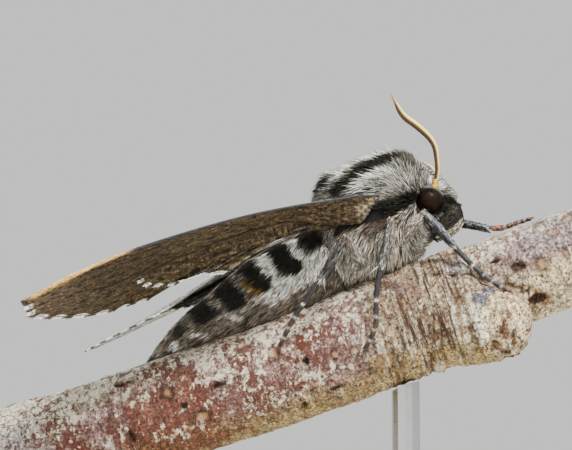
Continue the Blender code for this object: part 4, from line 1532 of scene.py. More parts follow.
@dataclass
class HeadParts:
    """Eyes, feelers and palps. Sizes are in millimetres, the slimness a share of the CAD's radii."""

    eye_rings: int = 40
    eye_pole: float = 0.12
    feeler_steps: int = 40
    feeler_sides: int = 18
    feeler_slimness: float = 0.9
    rib_spacing: float = 0.17
    rib_depth: float = 0.16
    joint_radii: tuple[float, ...] = (0.31, 0.40, 0.34, 0.23)
    joint_reach: tuple[float, ...] = (-0.35, 0.1, 0.55, 0.85)
    palp_skin: float = 0.14
    palp_density: float = 110.0
    palp_hair: Pair = (0.36, 0.1)

    PALE_SIDE = (0.93, 0.1, 0.36)
    SHELL_DARK = (0.014, 0.005, 0.002)
    SHELL_BROWN = (0.09, 0.034, 0.01)
    SHELL_OCHRE = (0.60, 0.38, 0.045)
    SHELL_CREAM = (1.0, 0.90, 0.26)
    PALP_TOP = (-0.45, 0.0, 1.0)
    PALP_BLACK = (0.0045, 0.0037, 0.002)
    PALP_PALE = (0.50, 0.46, 0.36)

    def eye(self, side: Side, shop: Workshop, finish: Material) -> None:
        """Make an eye."""
        angle = np.linspace(self.eye_pole, math.pi - self.eye_pole, self.eye_rings)
        turn = np.arange(2 * self.eye_rings) * math.pi / self.eye_rings
        ring = np.stack([np.outer(np.sin(angle), np.cos(turn)), np.outer(np.cos(angle), np.ones(len(turn))),
                         np.outer(np.sin(angle), np.sin(turn))], axis=-1)
        centre = mirrored(np.array(EYE_CENTRE), side)
        piece = Bed(centre + EYE_RADIUS * ring, angle).skin("eye_ball_" + side.word)
        shop.hand_in(piece, finish, "eye", "eye_" + side.word)

    def feeler(self, side: Side, shop: Workshop, shell: Material, amber: Material) -> None:
        """Make a feeler, ribbed along its inner side, and its glossy first joint."""
        path = LEFT_ANTENNA if side is Side.LEFT else RIGHT_ANTENNA
        reach = np.linalg.norm(np.diff(smooth_path(path, self.feeler_steps), axis=0), axis=1).sum()

        def rib(share: Array) -> Array:
            """Find how high the ribs are along the feeler, from 0 to 1."""
            return 0.5 + 0.5 * np.cos(ROUND * share * (reach / self.rib_spacing))

        def ribbed(share: Array, turn: Array) -> Array:
            """Swell each ring by its rib on the side that faces back."""
            fade = min(1.0, (1 - share[0]) * 5)
            return 1 + self.rib_depth * rib(share) * fade * smooth_step(-0.2, 0.6, np.cos(turn - math.pi))

        radii = [self.feeler_slimness * radius for radius in ANTENNA_RADII]
        rod = Rod(path, radii, side, self.feeler_steps, self.feeler_sides, ribbed)
        piece = rod.skin("feeler_" + side.word)
        facing = read_normals(piece) @ unit(np.array(self.PALE_SIDE))
        share = np.clip(read_grain(piece)[:, 0] / reach, 0, 1)
        shade = washed(filled(self.SHELL_DARK, len(share)), (self.SHELL_BROWN, rib(share)),
                       (self.SHELL_OCHRE, smooth_step(0.04, 0.2, facing)),
                       (self.SHELL_CREAM, smooth_step(0.2, 0.45, facing) * 0.95),
                       (RUST, smooth_step(0.88, 0.96, share) * 0.7))
        write_values(piece, "marking", shade)
        shop.hand_in(piece, shell, "feeler", "antenna_" + side.word)
        root, after = np.array(path[0]), np.array(path[1])
        line = [root + unit(after - root) * far for far in self.joint_reach]
        bulb = Rod(line, self.joint_radii, side, 6, 20).skin("feeler_joint_" + side.word)
        shop.hand_in(bulb, amber, "feeler")

    def palp(self, side: Side, shop: Workshop, finish: Material) -> None:
        """Make a palp with its close coat."""
        rod = Rod(PALP_AXIS, [radius - self.palp_skin for radius in PALP_RADII], side, 8, 24)
        core = rod.skin("palp_core_" + side.word)
        write_values(core, "marking", filled(SOOT, len(core.data.vertices)))
        write_values(core, "tip", np.full(len(core.data.vertices), 0.5))
        shop.hand_in(core, finish, "fur", "palp_" + side.word)
        draw = np.random.default_rng(SEED * 31 + side.value)
        bed = rod.bed()
        roots = bed.scatter(self.palp_density, everywhere, draw)
        luck = Luck(draw, len(roots.row))
        low = smooth_step(0.6, 0.9, -roots.out @ unit(np.array(self.PALP_TOP)))
        shade = luck.toned(blend(filled(self.PALP_BLACK, luck.count), self.PALP_PALE, low), 0.35)
        length, width = (luck.times(size, 0.7, 1.2) for size in self.palp_hair)
        tufts = Tufts(roots.place, roots.out, unit(roots.on), length, width, luck.about(24, 6),
                      luck.about(4, 8), luck.about(0, 10), np.clip(shade, 0, 0.8), bed.unwrap_of(roots))
        shop.hand_in(tufts.build("coat_palp_" + side.word), finish, "fur")

    def build(self, shop: Workshop, finishes: Finishes) -> None:
        """Make all the head's parts on both sides."""
        for side in Side:
            self.eye(side, shop, finishes["eye"])
            self.feeler(side, shop, finishes["feeler"], finishes["amber"])
            self.palp(side, shop, finishes["hair"])


# Wings


def off_vein(line: Array) -> Array:
    """Find how far lines are from the nearest vein, as a share of the gap between veins."""
    return line - np.round(line)


@dataclass
class Wing:
    """A wing spanned by its veins, from its root edge to its outer margin.

    The margin has the end of each vein and the root edge its two corners, in millimetres along
    and back across the wings' plane. Bow bends the first and the last vein back, and depth is how
    far they are under the plane. Over is the wing that lies over this one.
    """

    name: str
    node: str
    margin: tuple[Pair, ...]
    root_edge: tuple[Pair, Pair]
    bow: Pair
    depth: Pair
    camber: float
    lift: float
    over: "Wing | None" = None
    touch: float = 0.05
    lines_per_vein: int = 8
    steps: int = 140
    thickness: float = 0.1
    vein_height: float = 0.07
    fringe_length: float = 0.7
    fringe_width: float = 0.17
    fringe_density: float = 20.0

    GRAIN = Grain(SEED + 11)
    LEAN_SHIFT = 2.6
    PLEAT = 0.07
    SCALLOP = 0.004
    LAST = 0.993
    FRINGE_ROOT = 0.985

    BROWN = (0.046, 0.0305, 0.0145)
    LIGHT_BROWN = (0.088, 0.062, 0.034)
    DARK_BROWN = (0.022, 0.014, 0.007)
    TIP_BROWN = (0.10, 0.07, 0.04)
    ROOT_BROWN = (0.062, 0.043, 0.023)
    ROOT_TAN = (0.27, 0.205, 0.13)
    FAR_GREY = (0.34, 0.335, 0.32)
    HIND_GREY = (0.13, 0.11, 0.09)
    FORE_GREY = (0.17, 0.163, 0.15)
    CLOUD_GREY = (0.09, 0.085, 0.078)
    MARGIN_GREY = (0.26, 0.25, 0.23)
    COSTA_BLACK = (0.035, 0.037, 0.045)
    COSTA_CREAM = (0.88, 0.52, 0.15)
    INNER_CREAM = (0.24, 0.21, 0.15)
    MARGIN_WHITE = (0.93, 0.91, 0.84)
    FRINGE_BROWN = (0.07, 0.046, 0.026)
    FRINGE_WHITE = (0.95, 0.93, 0.86)

    def depth_at(self, line: Array, u: Array) -> Array:
        """Find how far the wing's middle is under the wings' plane, in millimetres."""
        share = line / (len(self.margin) - 1)
        rise = self.camber * np.sin(math.pi * share) * np.sin(math.pi * np.minimum(1.0, u + 0.1))
        rise = rise + self.lift * share ** 2 * np.sin(math.pi * u ** 0.8)
        return self.depth[0] * (1 - share) + self.depth[1] * share - rise

    def flat(self, line: Array, u: Array) -> tuple[Array, Array]:
        """Find how far along and back across the wings' plane places are, in millimetres."""
        veins = len(self.margin)
        share = line / (veins - 1)
        start = [np.interp(share, (0, 1), [p[k] for p in self.root_edge]) for k in (0, 1)]
        end = [np.interp(line, np.arange(veins), [p[k] for p in self.margin]) for k in (0, 1)]
        sag = self.bow[0] * (1 - share) ** 1.6 + self.bow[1] * share ** 2
        s = start[0] * (1 - u) + end[0] * u
        return s, start[1] * (1 - u) + end[1] * u + sag * (1 - np.abs(2 * u ** 1.3 - 1) ** 2.5)

    def depth_over(self, s: Array, c: Array) -> Array:
        """Find how deep the wing above is at places of the plane."""
        lines = np.linspace(0, len(self.over.margin) - 1, 46)
        line, u = (values.ravel() for values in np.meshgrid(lines, np.linspace(0, 1, 60)))
        over_s, over_c = self.over.flat(line, u)
        depth = self.over.depth_at(line, u)
        found = np.empty(s.size)
        for k, (one_s, one_c) in enumerate(zip(s.ravel(), c.ravel())):
            near = 1 / ((over_s - one_s) ** 2 + (over_c - one_c) ** 2 + 0.04) ** 3
            found[k] = near @ depth / near.sum()
        return found.reshape(s.shape)

    def at(self, line: Array, u: Array, side: Side) -> tuple[Array, Array, Array]:
        """Find places of the wing's middle.

        Args:
            line: Which vein, or how far from one to the next.
            u: The share of the way from the root to the margin.
            side: The side of the moth.

        Returns:
            The places before they are mirrored, and how far along and back they are in millimetres.
        """
        s, c = self.flat(line, u)
        middle = self.depth_at(line, u)
        if self.over:
            fade = (1 - line / (len(self.margin) - 1)) ** 1.5
            lean = fade
            for _ in range(2):
                lean = fade * (middle - self.depth_over(s, c + lean * self.LEAN_SHIFT) - self.touch)
            middle, c, s = middle - lean, c + lean * self.LEAN_SHIFT, s * (1 - 0.035 * fade)
        middle = middle + flank_bend(s, c) * (fade if self.over else 1.0)
        root, along, back, under = wing_frame(side)
        place = root + along * s[..., None] + back * c[..., None] + under * middle[..., None]
        return place, s, c

    def markings(self, line: Array, u: Array, s: Array, c: Array, face: Array, far: float) -> Array:
        """Colour the wing.

        Args:
            line: Veins.
            u: Shares of the way out.
            s: Millimetres along the wing.
            c: Millimetres back across it.
            face: 1 on the underside and -1 on the upper side.
            far: 1 for the side away from the photo, whose wings are greyer below, and 0 for the
                near side.

        Returns:
            A colour for each place.
        """
        spot = np.column_stack([s, c, face * 5])
        near_edge = (len(self.margin) - 1 - line) / (len(self.margin) - 1)

        def clouds(low: float, high: float, size: Sequence[float], shift: float = 0.0) -> Array:
            """Find clouds of a size on the wing."""
            return smooth_step(low, high, self.GRAIN.layered(spot + shift, size))

        at_root = smooth_fall(1.6, 2.5, s + 0.5 * self.GRAIN.layered(spot, 2.0)) * smooth_step(-0.9, -0.2, c)
        brown = washed(filled(self.BROWN, len(s)),
                       (self.LIGHT_BROWN, clouds(0.0, 0.9, (9.0, 2.2, 1.0)) * 0.5),
                       (self.DARK_BROWN, clouds(0.0, 0.9, (12.0, 2.0, 1.0), 9) * 0.5),
                       (self.TIP_BROWN, smooth_step(28, 37, s) * 0.7),
                       (self.ROOT_BROWN, smooth_fall(3.0, 9.0, s) * 0.7),
                       (self.ROOT_TAN, at_root * 0.8),
                       (self.FAR_GREY, far * smooth_step(12.0, 20.0, s) * 0.85))
        dash = (np.abs(off_vein(line)) < 0.12) & (u > 0.55) & (u < 0.72) & (line % 2 > 0.5)
        grey = washed(filled(self.HIND_GREY if self.over else self.FORE_GREY, len(s)),
                      (self.CLOUD_GREY, clouds(0.0, 0.8, (4.0, 1.2, 1.0)) * 0.7),
                      (BLACK, dash * 0.9),
                      (self.MARGIN_GREY, smooth_step(0.88, 0.95, u) * 0.5))
        shade = np.where(face[:, None] > 0, brown, grey)
        shade = blend(shade, shade * 0.6, bell(off_vein(line), 0.09) * 0.6)
        if self.camber:
            cream = smooth_step(0.70, 0.76, u) * smooth_fall(0.96, 1.0, u)
            cream = cream * np.exp(-(line / (0.34 + 0.3 * smooth_step(0.7, 1.0, u))) ** 4)
            shade = washed(shade, (self.COSTA_BLACK, bell(line, 0.22) * smooth_fall(0.70, 0.76, u)),
                           (self.COSTA_CREAM, cream * (face > 0)), (CREAM, cream * (face < 0) * 0.5))
        else:
            shade = blend(shade, self.INNER_CREAM, bell(near_edge, 0.03) * 0.7)
        white = self.chequer(line)
        return washed(shade, (self.MARGIN_WHITE, smooth_step(0.986, 0.992, u) * white * (face > 0)),
                      (UMBER, smooth_step(0.985, 0.997, u) * (1 - white) * 0.6))

    def chequer(self, line: Array) -> Array:
        """Find how white the margin is along the lines."""
        pale = smooth_step(0.2, 0.28, np.abs(off_vein(line)))
        if self.over:
            return np.maximum(pale, smooth_step(4.4, 4.8, line))
        return pale * smooth_step(0.9, 1.3, line)

    def membrane(self, side: Side) -> Piece:
        """Make the wing's two faces and its rim."""
        veins = len(self.margin)
        lines, width = (veins - 1) * self.lines_per_vein + 1, self.steps + 1
        line, u = np.meshgrid(np.linspace(0, veins - 1, lines), np.linspace(0, 1, width), indexing="ij")
        scallop = 1 - self.SCALLOP * np.sin(math.pi * (line % 1.0)) ** 2 * smooth_step(0.8, 1.0, u)
        middle, s, c = self.at(line, u * scallop * self.LAST, side)
        ridge = bell(off_vein(line), 0.1) * (1 - 0.6 * u)
        pleat = self.PLEAT * np.cos(ROUND * line) * (1 - 0.4 * u) * smooth_step(0.0, 0.2, u)
        slim = (1 - 0.75 * smooth_step(0.9, 1.0, u)) * (0.35 + 0.65 * smooth_step(0.0, 0.3, line))
        half = self.thickness * slim + ridge * self.vein_height
        under = wing_frame(side)[3]
        faces_of = [middle + under * (pleat + way * half)[..., None] for way in (-1, 1)]
        places = mirrored(np.vstack([block.reshape(-1, 3) for block in faces_of]), side)
        count = lines * width
        here = np.arange(count).reshape(lines, width)
        quad = np.stack([here[:-1, :-1], here[:-1, 1:], here[1:, 1:], here[1:, :-1]], -1).reshape(-1, 4)
        rim = np.concatenate([here[0], here[1:, -1], here[-1, -2::-1], here[-2:0:-1, 0]])
        after = np.roll(rim, -1)
        band = np.column_stack([rim, rim + count, after + count, after])
        blocks = [quad, quad[:, ::-1] + count, band]
        if side is Side.LEFT:
            blocks = [block[:, ::-1] for block in blocks]
        piece = make_piece(f"{self.name}_{side.word}", places, blocks)
        self.turn_outward(piece)
        line, u, s, c = (np.tile(values.ravel(), 2) for values in (line, u, s, c))
        face = np.repeat([-1.0, 1.0], count)
        write_values(piece, "marking", self.markings(line, u, s, c, face, float(side is Side.LEFT)))
        write_values(piece, "grain", np.column_stack([s, c, face * 7]))
        write_values(piece, "bare", np.where(face > 0, np.clip(bell(line, 0.25), 0, 1), 1.0))
        return piece

    @staticmethod
    def turn_outward(piece: Piece) -> None:
        """Turn a closed mesh's faces outward."""
        bm = bmesh.new()
        bm.from_mesh(piece.data)
        if bm.calc_volume(signed=True) < 0:
            bmesh.ops.reverse_faces(bm, faces=bm.faces)
        bm.to_mesh(piece.data)
        bm.free()

    def fringe(self, side: Side) -> Piece:
        """Make the chequered fringe along the outer margin."""
        veins = len(self.margin)
        fine = np.linspace(0, veins - 1, 600)
        reach = reach_along(self.at(fine, np.ones(600), side)[0])
        count = int(reach[-1] * self.fringe_density)
        luck = Luck(np.random.default_rng(SEED * 57 + side.value + len(self.node)), count)
        line = np.interp((np.arange(count) + luck.times(1.0, -0.4, 0.4)) / count * reach[-1], reach, fine)

        def along(shift: float, share: float) -> Array:
            """Find places near the margin, shifted along it and at a share of the way out."""
            return self.at(line + shift, np.full(count, share), side)[0]

        way = along(0.0, 1.0) - along(0.0, 0.99)
        tangent = unit(along(0.01, 1.0) - along(-0.01, 1.0))
        square = way - tangent * np.sum(way * tangent, axis=1, keepdims=True)
        lie = unit(unit(square) + 0.25 * unit(way))
        shade = blend(filled(self.FRINGE_BROWN, count), self.FRINGE_WHITE, self.chequer(line))
        shade = luck.toned(shade, 0.2)
        place, under = along(0.0, self.FRINGE_ROOT), filled(wing_frame(side)[3], count)
        length = luck.times(self.fringe_length, 0.75, 1.1) * (0.6 + 0.4 * np.clip(line, 0, 1))
        unwrap = np.column_stack([0.05 + 0.9 * line / (veins - 1), np.full(count, 0.5)])
        tufts = Tufts(mirrored(place, side), mirrored(under, side), mirrored(lie, side), length,
                      luck.times(self.fringe_width, 0.8, 1.2), luck.about(0, 5), luck.about(0, 7),
                      luck.about(0, 6), np.clip(shade, 0, 0.95), unwrap, flat=0.3, sink=0.0)
        return tufts.build(f"{self.name}_fringe_{side.word}")

    def build(self, shop: Workshop, finishes: Finishes) -> None:
        """Make the wing and its fringe on both sides."""
        for side in Side:
            node = f"{self.node}_{side.word}"
            shop.hand_in(self.membrane(side), finishes["membrane"], "wing_scales", node)
            shop.hand_in(self.fringe(side), finishes["hair"], "wing_scales")


FOREWING = Wing(
    name="forewing_scaled", node="forewing",
    margin=((37.8, 0.0), (37.1, 1.2), (36.6, 2.9), (36.2, 4.6), (34.3, 6.2), (32.1, 7.6), (29.4, 9.0),
            (27.0, 9.5), (25.0, 9.4), (22.9, 9.4)),
    root_edge=((0.35, -0.9), (2.3, 1.0)), bow=(-4.95, 0.3), depth=(0.0, 0.0), camber=0.5, lift=1.6)
HINDWING = Wing(
    name="hindwing_scaled", node="hindwing",
    margin=((25.7, 0.4), (25.2, 1.7), (24.1, 2.7), (22.6, 3.5), (21.1, 3.9), (19.7, 3.8), (18.2, 3.5),
            (16.1, 4.4)),
    root_edge=((1.0, -0.6), (-0.4, 2.2)), bow=(-3.6, 0.0), depth=(1.15, 1.5), camber=0.0, lift=1.9,
    over=FOREWING)


# Legs

Joint = tuple[list[Place], list[float]]
FORE_LEG_RIGHT: list[Joint] = [
    ([(11.6, 3.0, -2.6), (13.2, 4.3, -0.9), (14.2, 4.7, 0.2)], [0.6, 0.62, 0.42]),
    ([(14.0, 4.7, 0.3), (15.4, 4.7, -1.1), (17.0, 4.4, -2.9)], [0.42, 0.52, 0.4]),
    ([(16.8, 4.4, -2.7), (18.0, 4.2, -4.0), (19.4, 4.3, -5.4), (21.0, 4.6, -6.7), (22.6, 4.9, -7.7)],
     [0.36, 0.27, 0.27, 0.26, 0.2]),
]
FORE_LEG_LEFT: list[Joint] = [
    ([(12.2, 2.6, -2.4), (14.2, 3.6, -1.0), (16.2, 4.0, 0.5)], [0.6, 0.58, 0.42]),
    ([(16.0, 4.0, 0.55), (18.0, 3.9, 0.4), (20.4, 3.6, -0.2)], [0.42, 0.5, 0.38]),
    ([(20.2, 3.6, -0.15), (21.8, 3.5, -0.1), (23.2, 3.4, 0.35), (24.6, 3.3, 0.75)],
     [0.34, 0.27, 0.26, 0.2]),
]
MID_LEG: list[Joint] = [
    ([(10.2, 3.6, -3.6), (10.8, 5.0, -2.0), (11.0, 6.0, -0.7)], [0.62, 0.6, 0.42]),
    ([(11.0, 6.0, -0.6), (10.7, 6.7, -2.7), (10.1, 7.1, -5.2)], [0.4, 0.48, 0.38]),
    ([(10.1, 7.1, -5.0), (9.6, 7.0, -8.2), (9.5, 6.6, -10.9), (8.9, 6.2, -12.4), (8.3, 5.9, -13.4)],
     [0.34, 0.27, 0.26, 0.25, 0.2]),
    ([(10.15, 7.0, -4.9), (9.3, 7.4, -5.8), (8.4, 7.6, -6.6)], [0.25, 0.22, 0.06]),
]
HIND_LEG: list[Joint] = [
    ([(8.0, 3.4, -4.8), (7.2, 4.9, -3.4), (6.4, 6.0, -2.3)], [0.62, 0.58, 0.42]),
    ([(6.5, 6.0, -2.2), (5.5, 6.6, -4.2), (4.3, 7.0, -6.3)], [0.4, 0.48, 0.38]),
    ([(4.4, 7.0, -6.1), (2.9, 6.9, -8.2), (1.6, 6.5, -10.0), (0.7, 6.1, -11.5), (-0.1, 5.6, -13.0)],
     [0.34, 0.27, 0.26, 0.25, 0.2]),
    ([(4.6, 6.9, -5.8), (4.5, 7.4, -6.9), (4.7, 7.5, -8.0)], [0.25, 0.25, 0.08]),
]


class LegPart(Enum):
    """A part of a leg: how thick it is against its CAD form, and how uneven its hair's colour is."""

    THIGH = (0.82, 0.6)
    SHIN = (0.82, 0.9)
    FOOT = (0.98, 0.4)
    SPUR = (0.3, 0.0)


@dataclass
class Leg:
    """A leg of thigh, shin, jointed foot with claws, and spur.

    Rusty tells from where to where along the foot its rusty scales set in. Each part is paler on its sides
    that face up and forward, painted light, and the shin has its own share of it. Hair lengths and widths
    are in millimetres.
    """

    node: str
    side: Side
    joints: list[Joint]
    rusty: Pair = (0.5, 1.3)
    # The paler colour laid on the shin's sides that face up and forward, painted light, and how much of it
    # shows.
    bloom: Shade = (0.18, 0.172, 0.155)
    shin_light: float = 0.8
    shin_hair: float = 0.6
    foot_joints: tuple[float, ...] = (0.0, 0.4, 0.58, 0.72, 0.85, 1.0)
    foot_hair: float = 0.22
    hair_width: float = 0.085
    hair_density: float = 60.0
    claw_length: float = 0.42
    claw_radii: tuple[float, ...] = (0.09, 0.075, 0.05, 0.012)

    GRAIN = Grain(SEED + 23)
    RING = 0.013
    FOOT_BLACK = (0.014, 0.012, 0.012)
    # Paler colour laid on the foot's sides that face up and forward: painted light.
    FOOT_BLOOM = (0.06, 0.06, 0.066)
    FOOT_RING = (0.66, 0.62, 0.56)
    FOOT_RUST = (0.36, 0.14, 0.045)
    SPUR_PALE = (0.42, 0.36, 0.28)
    SPUR_TIP = (0.10, 0.05, 0.03)
    THIGH_GREY = (0.20, 0.178, 0.148)
    # Paler colour laid on the thigh's sides that face up and forward: painted light.
    THIGH_BLOOM = (0.27, 0.25, 0.22)
    SHIN_BLACK = (0.03, 0.028, 0.028)
    SHIN_END = (0.62, 0.60, 0.56)
    SHIN_RUST = (0.12, 0.055, 0.03)
    CLAW_BROWN = (0.10, 0.045, 0.02)

    def swell_of_foot(self, share: Array, turn: Array) -> Array:
        """Swell each joint of the foot towards its end."""
        start = np.array(self.foot_joints)
        k = min(int(np.searchsorted(start, share[0], side="right")) - 1, len(start) - 2)
        part = (share[0] - start[k]) / (start[k + 1] - start[k])
        pinch = 0.25 * math.exp(-(min(part, 1 - part) / 0.06) ** 2)
        return np.full(len(turn), 0.86 + 0.24 * part - pinch)

    def shade_of(self, part: LegPart, share: Array, out: Array) -> Array:
        """Colour a part of the leg by how far along it is and which way it faces, paler where it faces up
        and forward as painted light.
        """
        # Sides that face up and forward are paler: painted light.
        up = smooth_step(-0.3, 0.6, out[:, 2] + 0.5 * out[:, 0])
        count = len(share)
        if part is LegPart.FOOT:
            rings = [(self.FOOT_RING, bell(share - start, self.RING) * (0.5 if number else 1.0))
                     for number, start in enumerate(self.foot_joints[1:-1])]
            clouds = smooth_step(0.1, 0.6, self.GRAIN.layered(out + share[:, None] * 20, 1.0))
            return washed(filled(self.FOOT_BLACK, count), (self.FOOT_BLOOM, up * 0.4), *rings,
                          (self.FOOT_RUST, clouds * smooth_step(*self.rusty, share)))
        if part is LegPart.SPUR:
            return blend(filled(self.SPUR_PALE, count), self.SPUR_TIP, smooth_step(0.3, 0.8, share))
        if part is LegPart.THIGH:
            return blend(filled(self.THIGH_GREY, count), self.THIGH_BLOOM, up * 0.4)
        return washed(filled(self.SHIN_BLACK, count), (self.bloom, up * self.shin_light),
                      (self.SHIN_END, smooth_step(0.93, 0.97, share)),
                      (self.SHIN_RUST, smooth_fall(0.0, 0.05, share) * 0.6))

    def claws(self) -> list[Piece]:
        """Make the two hooked claws at the foot's tip."""
        path = np.array(self.joints[2][0])
        tip, way, size = path[-1], unit(path[-1] - path[-2]), self.claw_length
        found = []
        for number, spread in enumerate((-1, 1)):
            across = unit(np.cross(way, (0, 0, 1))) * spread
            line = [tip - way * 0.08, tip + way * size * 0.4 + across * 0.1 + (0, 0, 0.04),
                    tip + way * size * 0.8 + across * 0.16,
                    tip + way * size + across * 0.18 - (0, 0, size * 0.3)]
            claw = Rod(line, self.claw_radii, self.side, 5, 10).skin(f"{self.node}_claw_{number}")
            write_values(claw, "marking", filled(self.CLAW_BROWN, len(claw.data.vertices)))
            found.append(claw)
        return found

    def hair(self, part: LegPart, bed: Bed, draw: np.random.Generator) -> Tufts:
        """Grow the hair of a part.

        Args:
            part: Which part it is.
            bed: Its surface.
            draw: What the chances are drawn from.

        Returns:
            The hair.
        """
        density = self.hair_density * (0.5 if part is LegPart.FOOT else 1.0)
        roots = bed.scatter(density, everywhere, draw)
        luck = Luck(draw, len(roots.row))
        share = np.clip(roots.row / bed.rows[-1], 0, 1)
        lengths = {LegPart.THIGH: 1 - 0.55 * share, LegPart.SHIN: self.shin_hair,
                   LegPart.FOOT: self.foot_hair}
        shade = luck.toned(self.shade_of(part, share, roots.out), part.value[1])
        return Tufts(roots.place, roots.out, unit(roots.on), luck.times(lengths[part], 0.7, 1.2),
                     luck.times(self.hair_width, 0.8, 1.2), luck.about(13, 6), luck.about(2, 6),
                     luck.about(0, 10), np.clip(shade, 0, 0.8), bed.unwrap_of(roots), sink=0.03)

    def build(self, shop: Workshop, finishes: Finishes) -> list[Tufts]:
        """Make the leg.

        Args:
            shop: Where pieces are handed in.
            finishes: The finishes by name.

        Returns:
            The hair of its thigh, shin and foot.
        """
        hair = []
        draw = np.random.default_rng(SEED * 13 + len(self.node) + self.side.value)
        for part, (path, radii) in zip(LegPart, self.joints):
            radii = [radius * part.value[0] for radius in radii]
            shape, steps = (self.swell_of_foot, 14) if part is LegPart.FOOT else (everywhere, 10)
            rod = Rod(path, radii, self.side, steps, 20, shape)
            piece, bed = rod.skin(f"{self.node}_{part.name.lower()}"), rod.bed()
            share = np.clip(read_grain(piece)[:, 0] / bed.rows[-1], 0, 1)
            write_values(piece, "marking", self.shade_of(part, share, read_normals(piece)))
            replaced = (self.node,) if part is LegPart.THIGH else ()
            shop.hand_in(piece, finishes["shell"], "leg_scales", *replaced)
            if part is not LegPart.SPUR:
                hair.append(self.hair(part, bed, draw))
        for claw in self.claws():
            shop.hand_in(claw, finishes["shell"], "leg_scales")
        return hair


def join_tufts(groups: Sequence[Tufts]) -> Tufts:
    """Put the tufts of several beds together."""
    names = ("place", "out", "lie", "length", "width", "rise", "fall", "bend", "colour", "unwrap")
    joined = {name: np.concatenate([getattr(group, name) for group in groups]) for name in names}
    return Tufts(**joined, sink=groups[0].sink)


def build_legs(shop: Workshop, finishes: Finishes) -> None:
    """Make the six legs and their hair, one piece of hair for each side."""
    # The fore legs' bluish grey, laid on their sides that face up and forward as painted light.
    blue_bloom_and_painted_light = (0.21, 0.225, 0.24)
    for side in Side:
        word = side.word
        if side is Side.LEFT:
            fore = Leg("leg_fore_" + word, side, FORE_LEG_LEFT, (-0.3, 0.15), blue_bloom_and_painted_light)
        else:
            fore = Leg("leg_fore_" + word, side, FORE_LEG_RIGHT, bloom=blue_bloom_and_painted_light)
        hair = []
        for leg in (fore, Leg("leg_mid_" + word, side, MID_LEG),
                    Leg("leg_hind_" + word, side, HIND_LEG, shin_light=0.25, shin_hair=0.95)):
            hair += leg.build(shop, finishes)
        shop.hand_in(join_tufts(hair).build("coat_legs_" + word), finishes["hair"], "leg_scales")


# Perch

STEM_AXIS = [(-36, 0, -25.7), (-21.4, 0, -21.6), (-7.2, 0, -17.15), (4.9, 0, -13.0),
             (14.0, 0.3, -9.5), (19.0, 0.9, -7.2)]
STEM_RADII = [5.35 * swell for swell in (0.98, 0.99, 1.0, 1.02, 1.06, 1.0)]
LIMB_AXIS = [(13.0, 0.2, -10.1), (17.2, 0.8, -8.0), (21.5, 1.3, -6.15), (25.1, 1.5, -4.8),
             (36, 1.5, -1.0)]
LIMB_RADII = [4.85 * swell for swell in (0.95, 1.0, 1.0, 1.0, 1.0)]
STUB_AXIS = [(12.6, -0.2, -10.6), (17.0, -1.4, -10.5), (20.5, -3.0, -10.6), (23.2, -4.3, -10.8)]
STUB_RADII = [3.3 * swell for swell in (1.15, 1.28, 1.2, 1.0)]


class Scar(Enum):
    """A kind of scar in the bark: how deep it is in millimetres, how dark and how tan its heart is."""

    PORE = (0.16, 0.75, 0.9)
    SLIT = (0.38, 0.92, 0.0)
    KNOT = (0.10, 0.35, 0.3)
    STAIN = (0.06, 0.55, 0.5)


@dataclass(frozen=True)
class Patch:
    """A stretch of bark of its own colour."""

    place: Place
    radius: float
    shade: Shade
    strength: float = 0.9


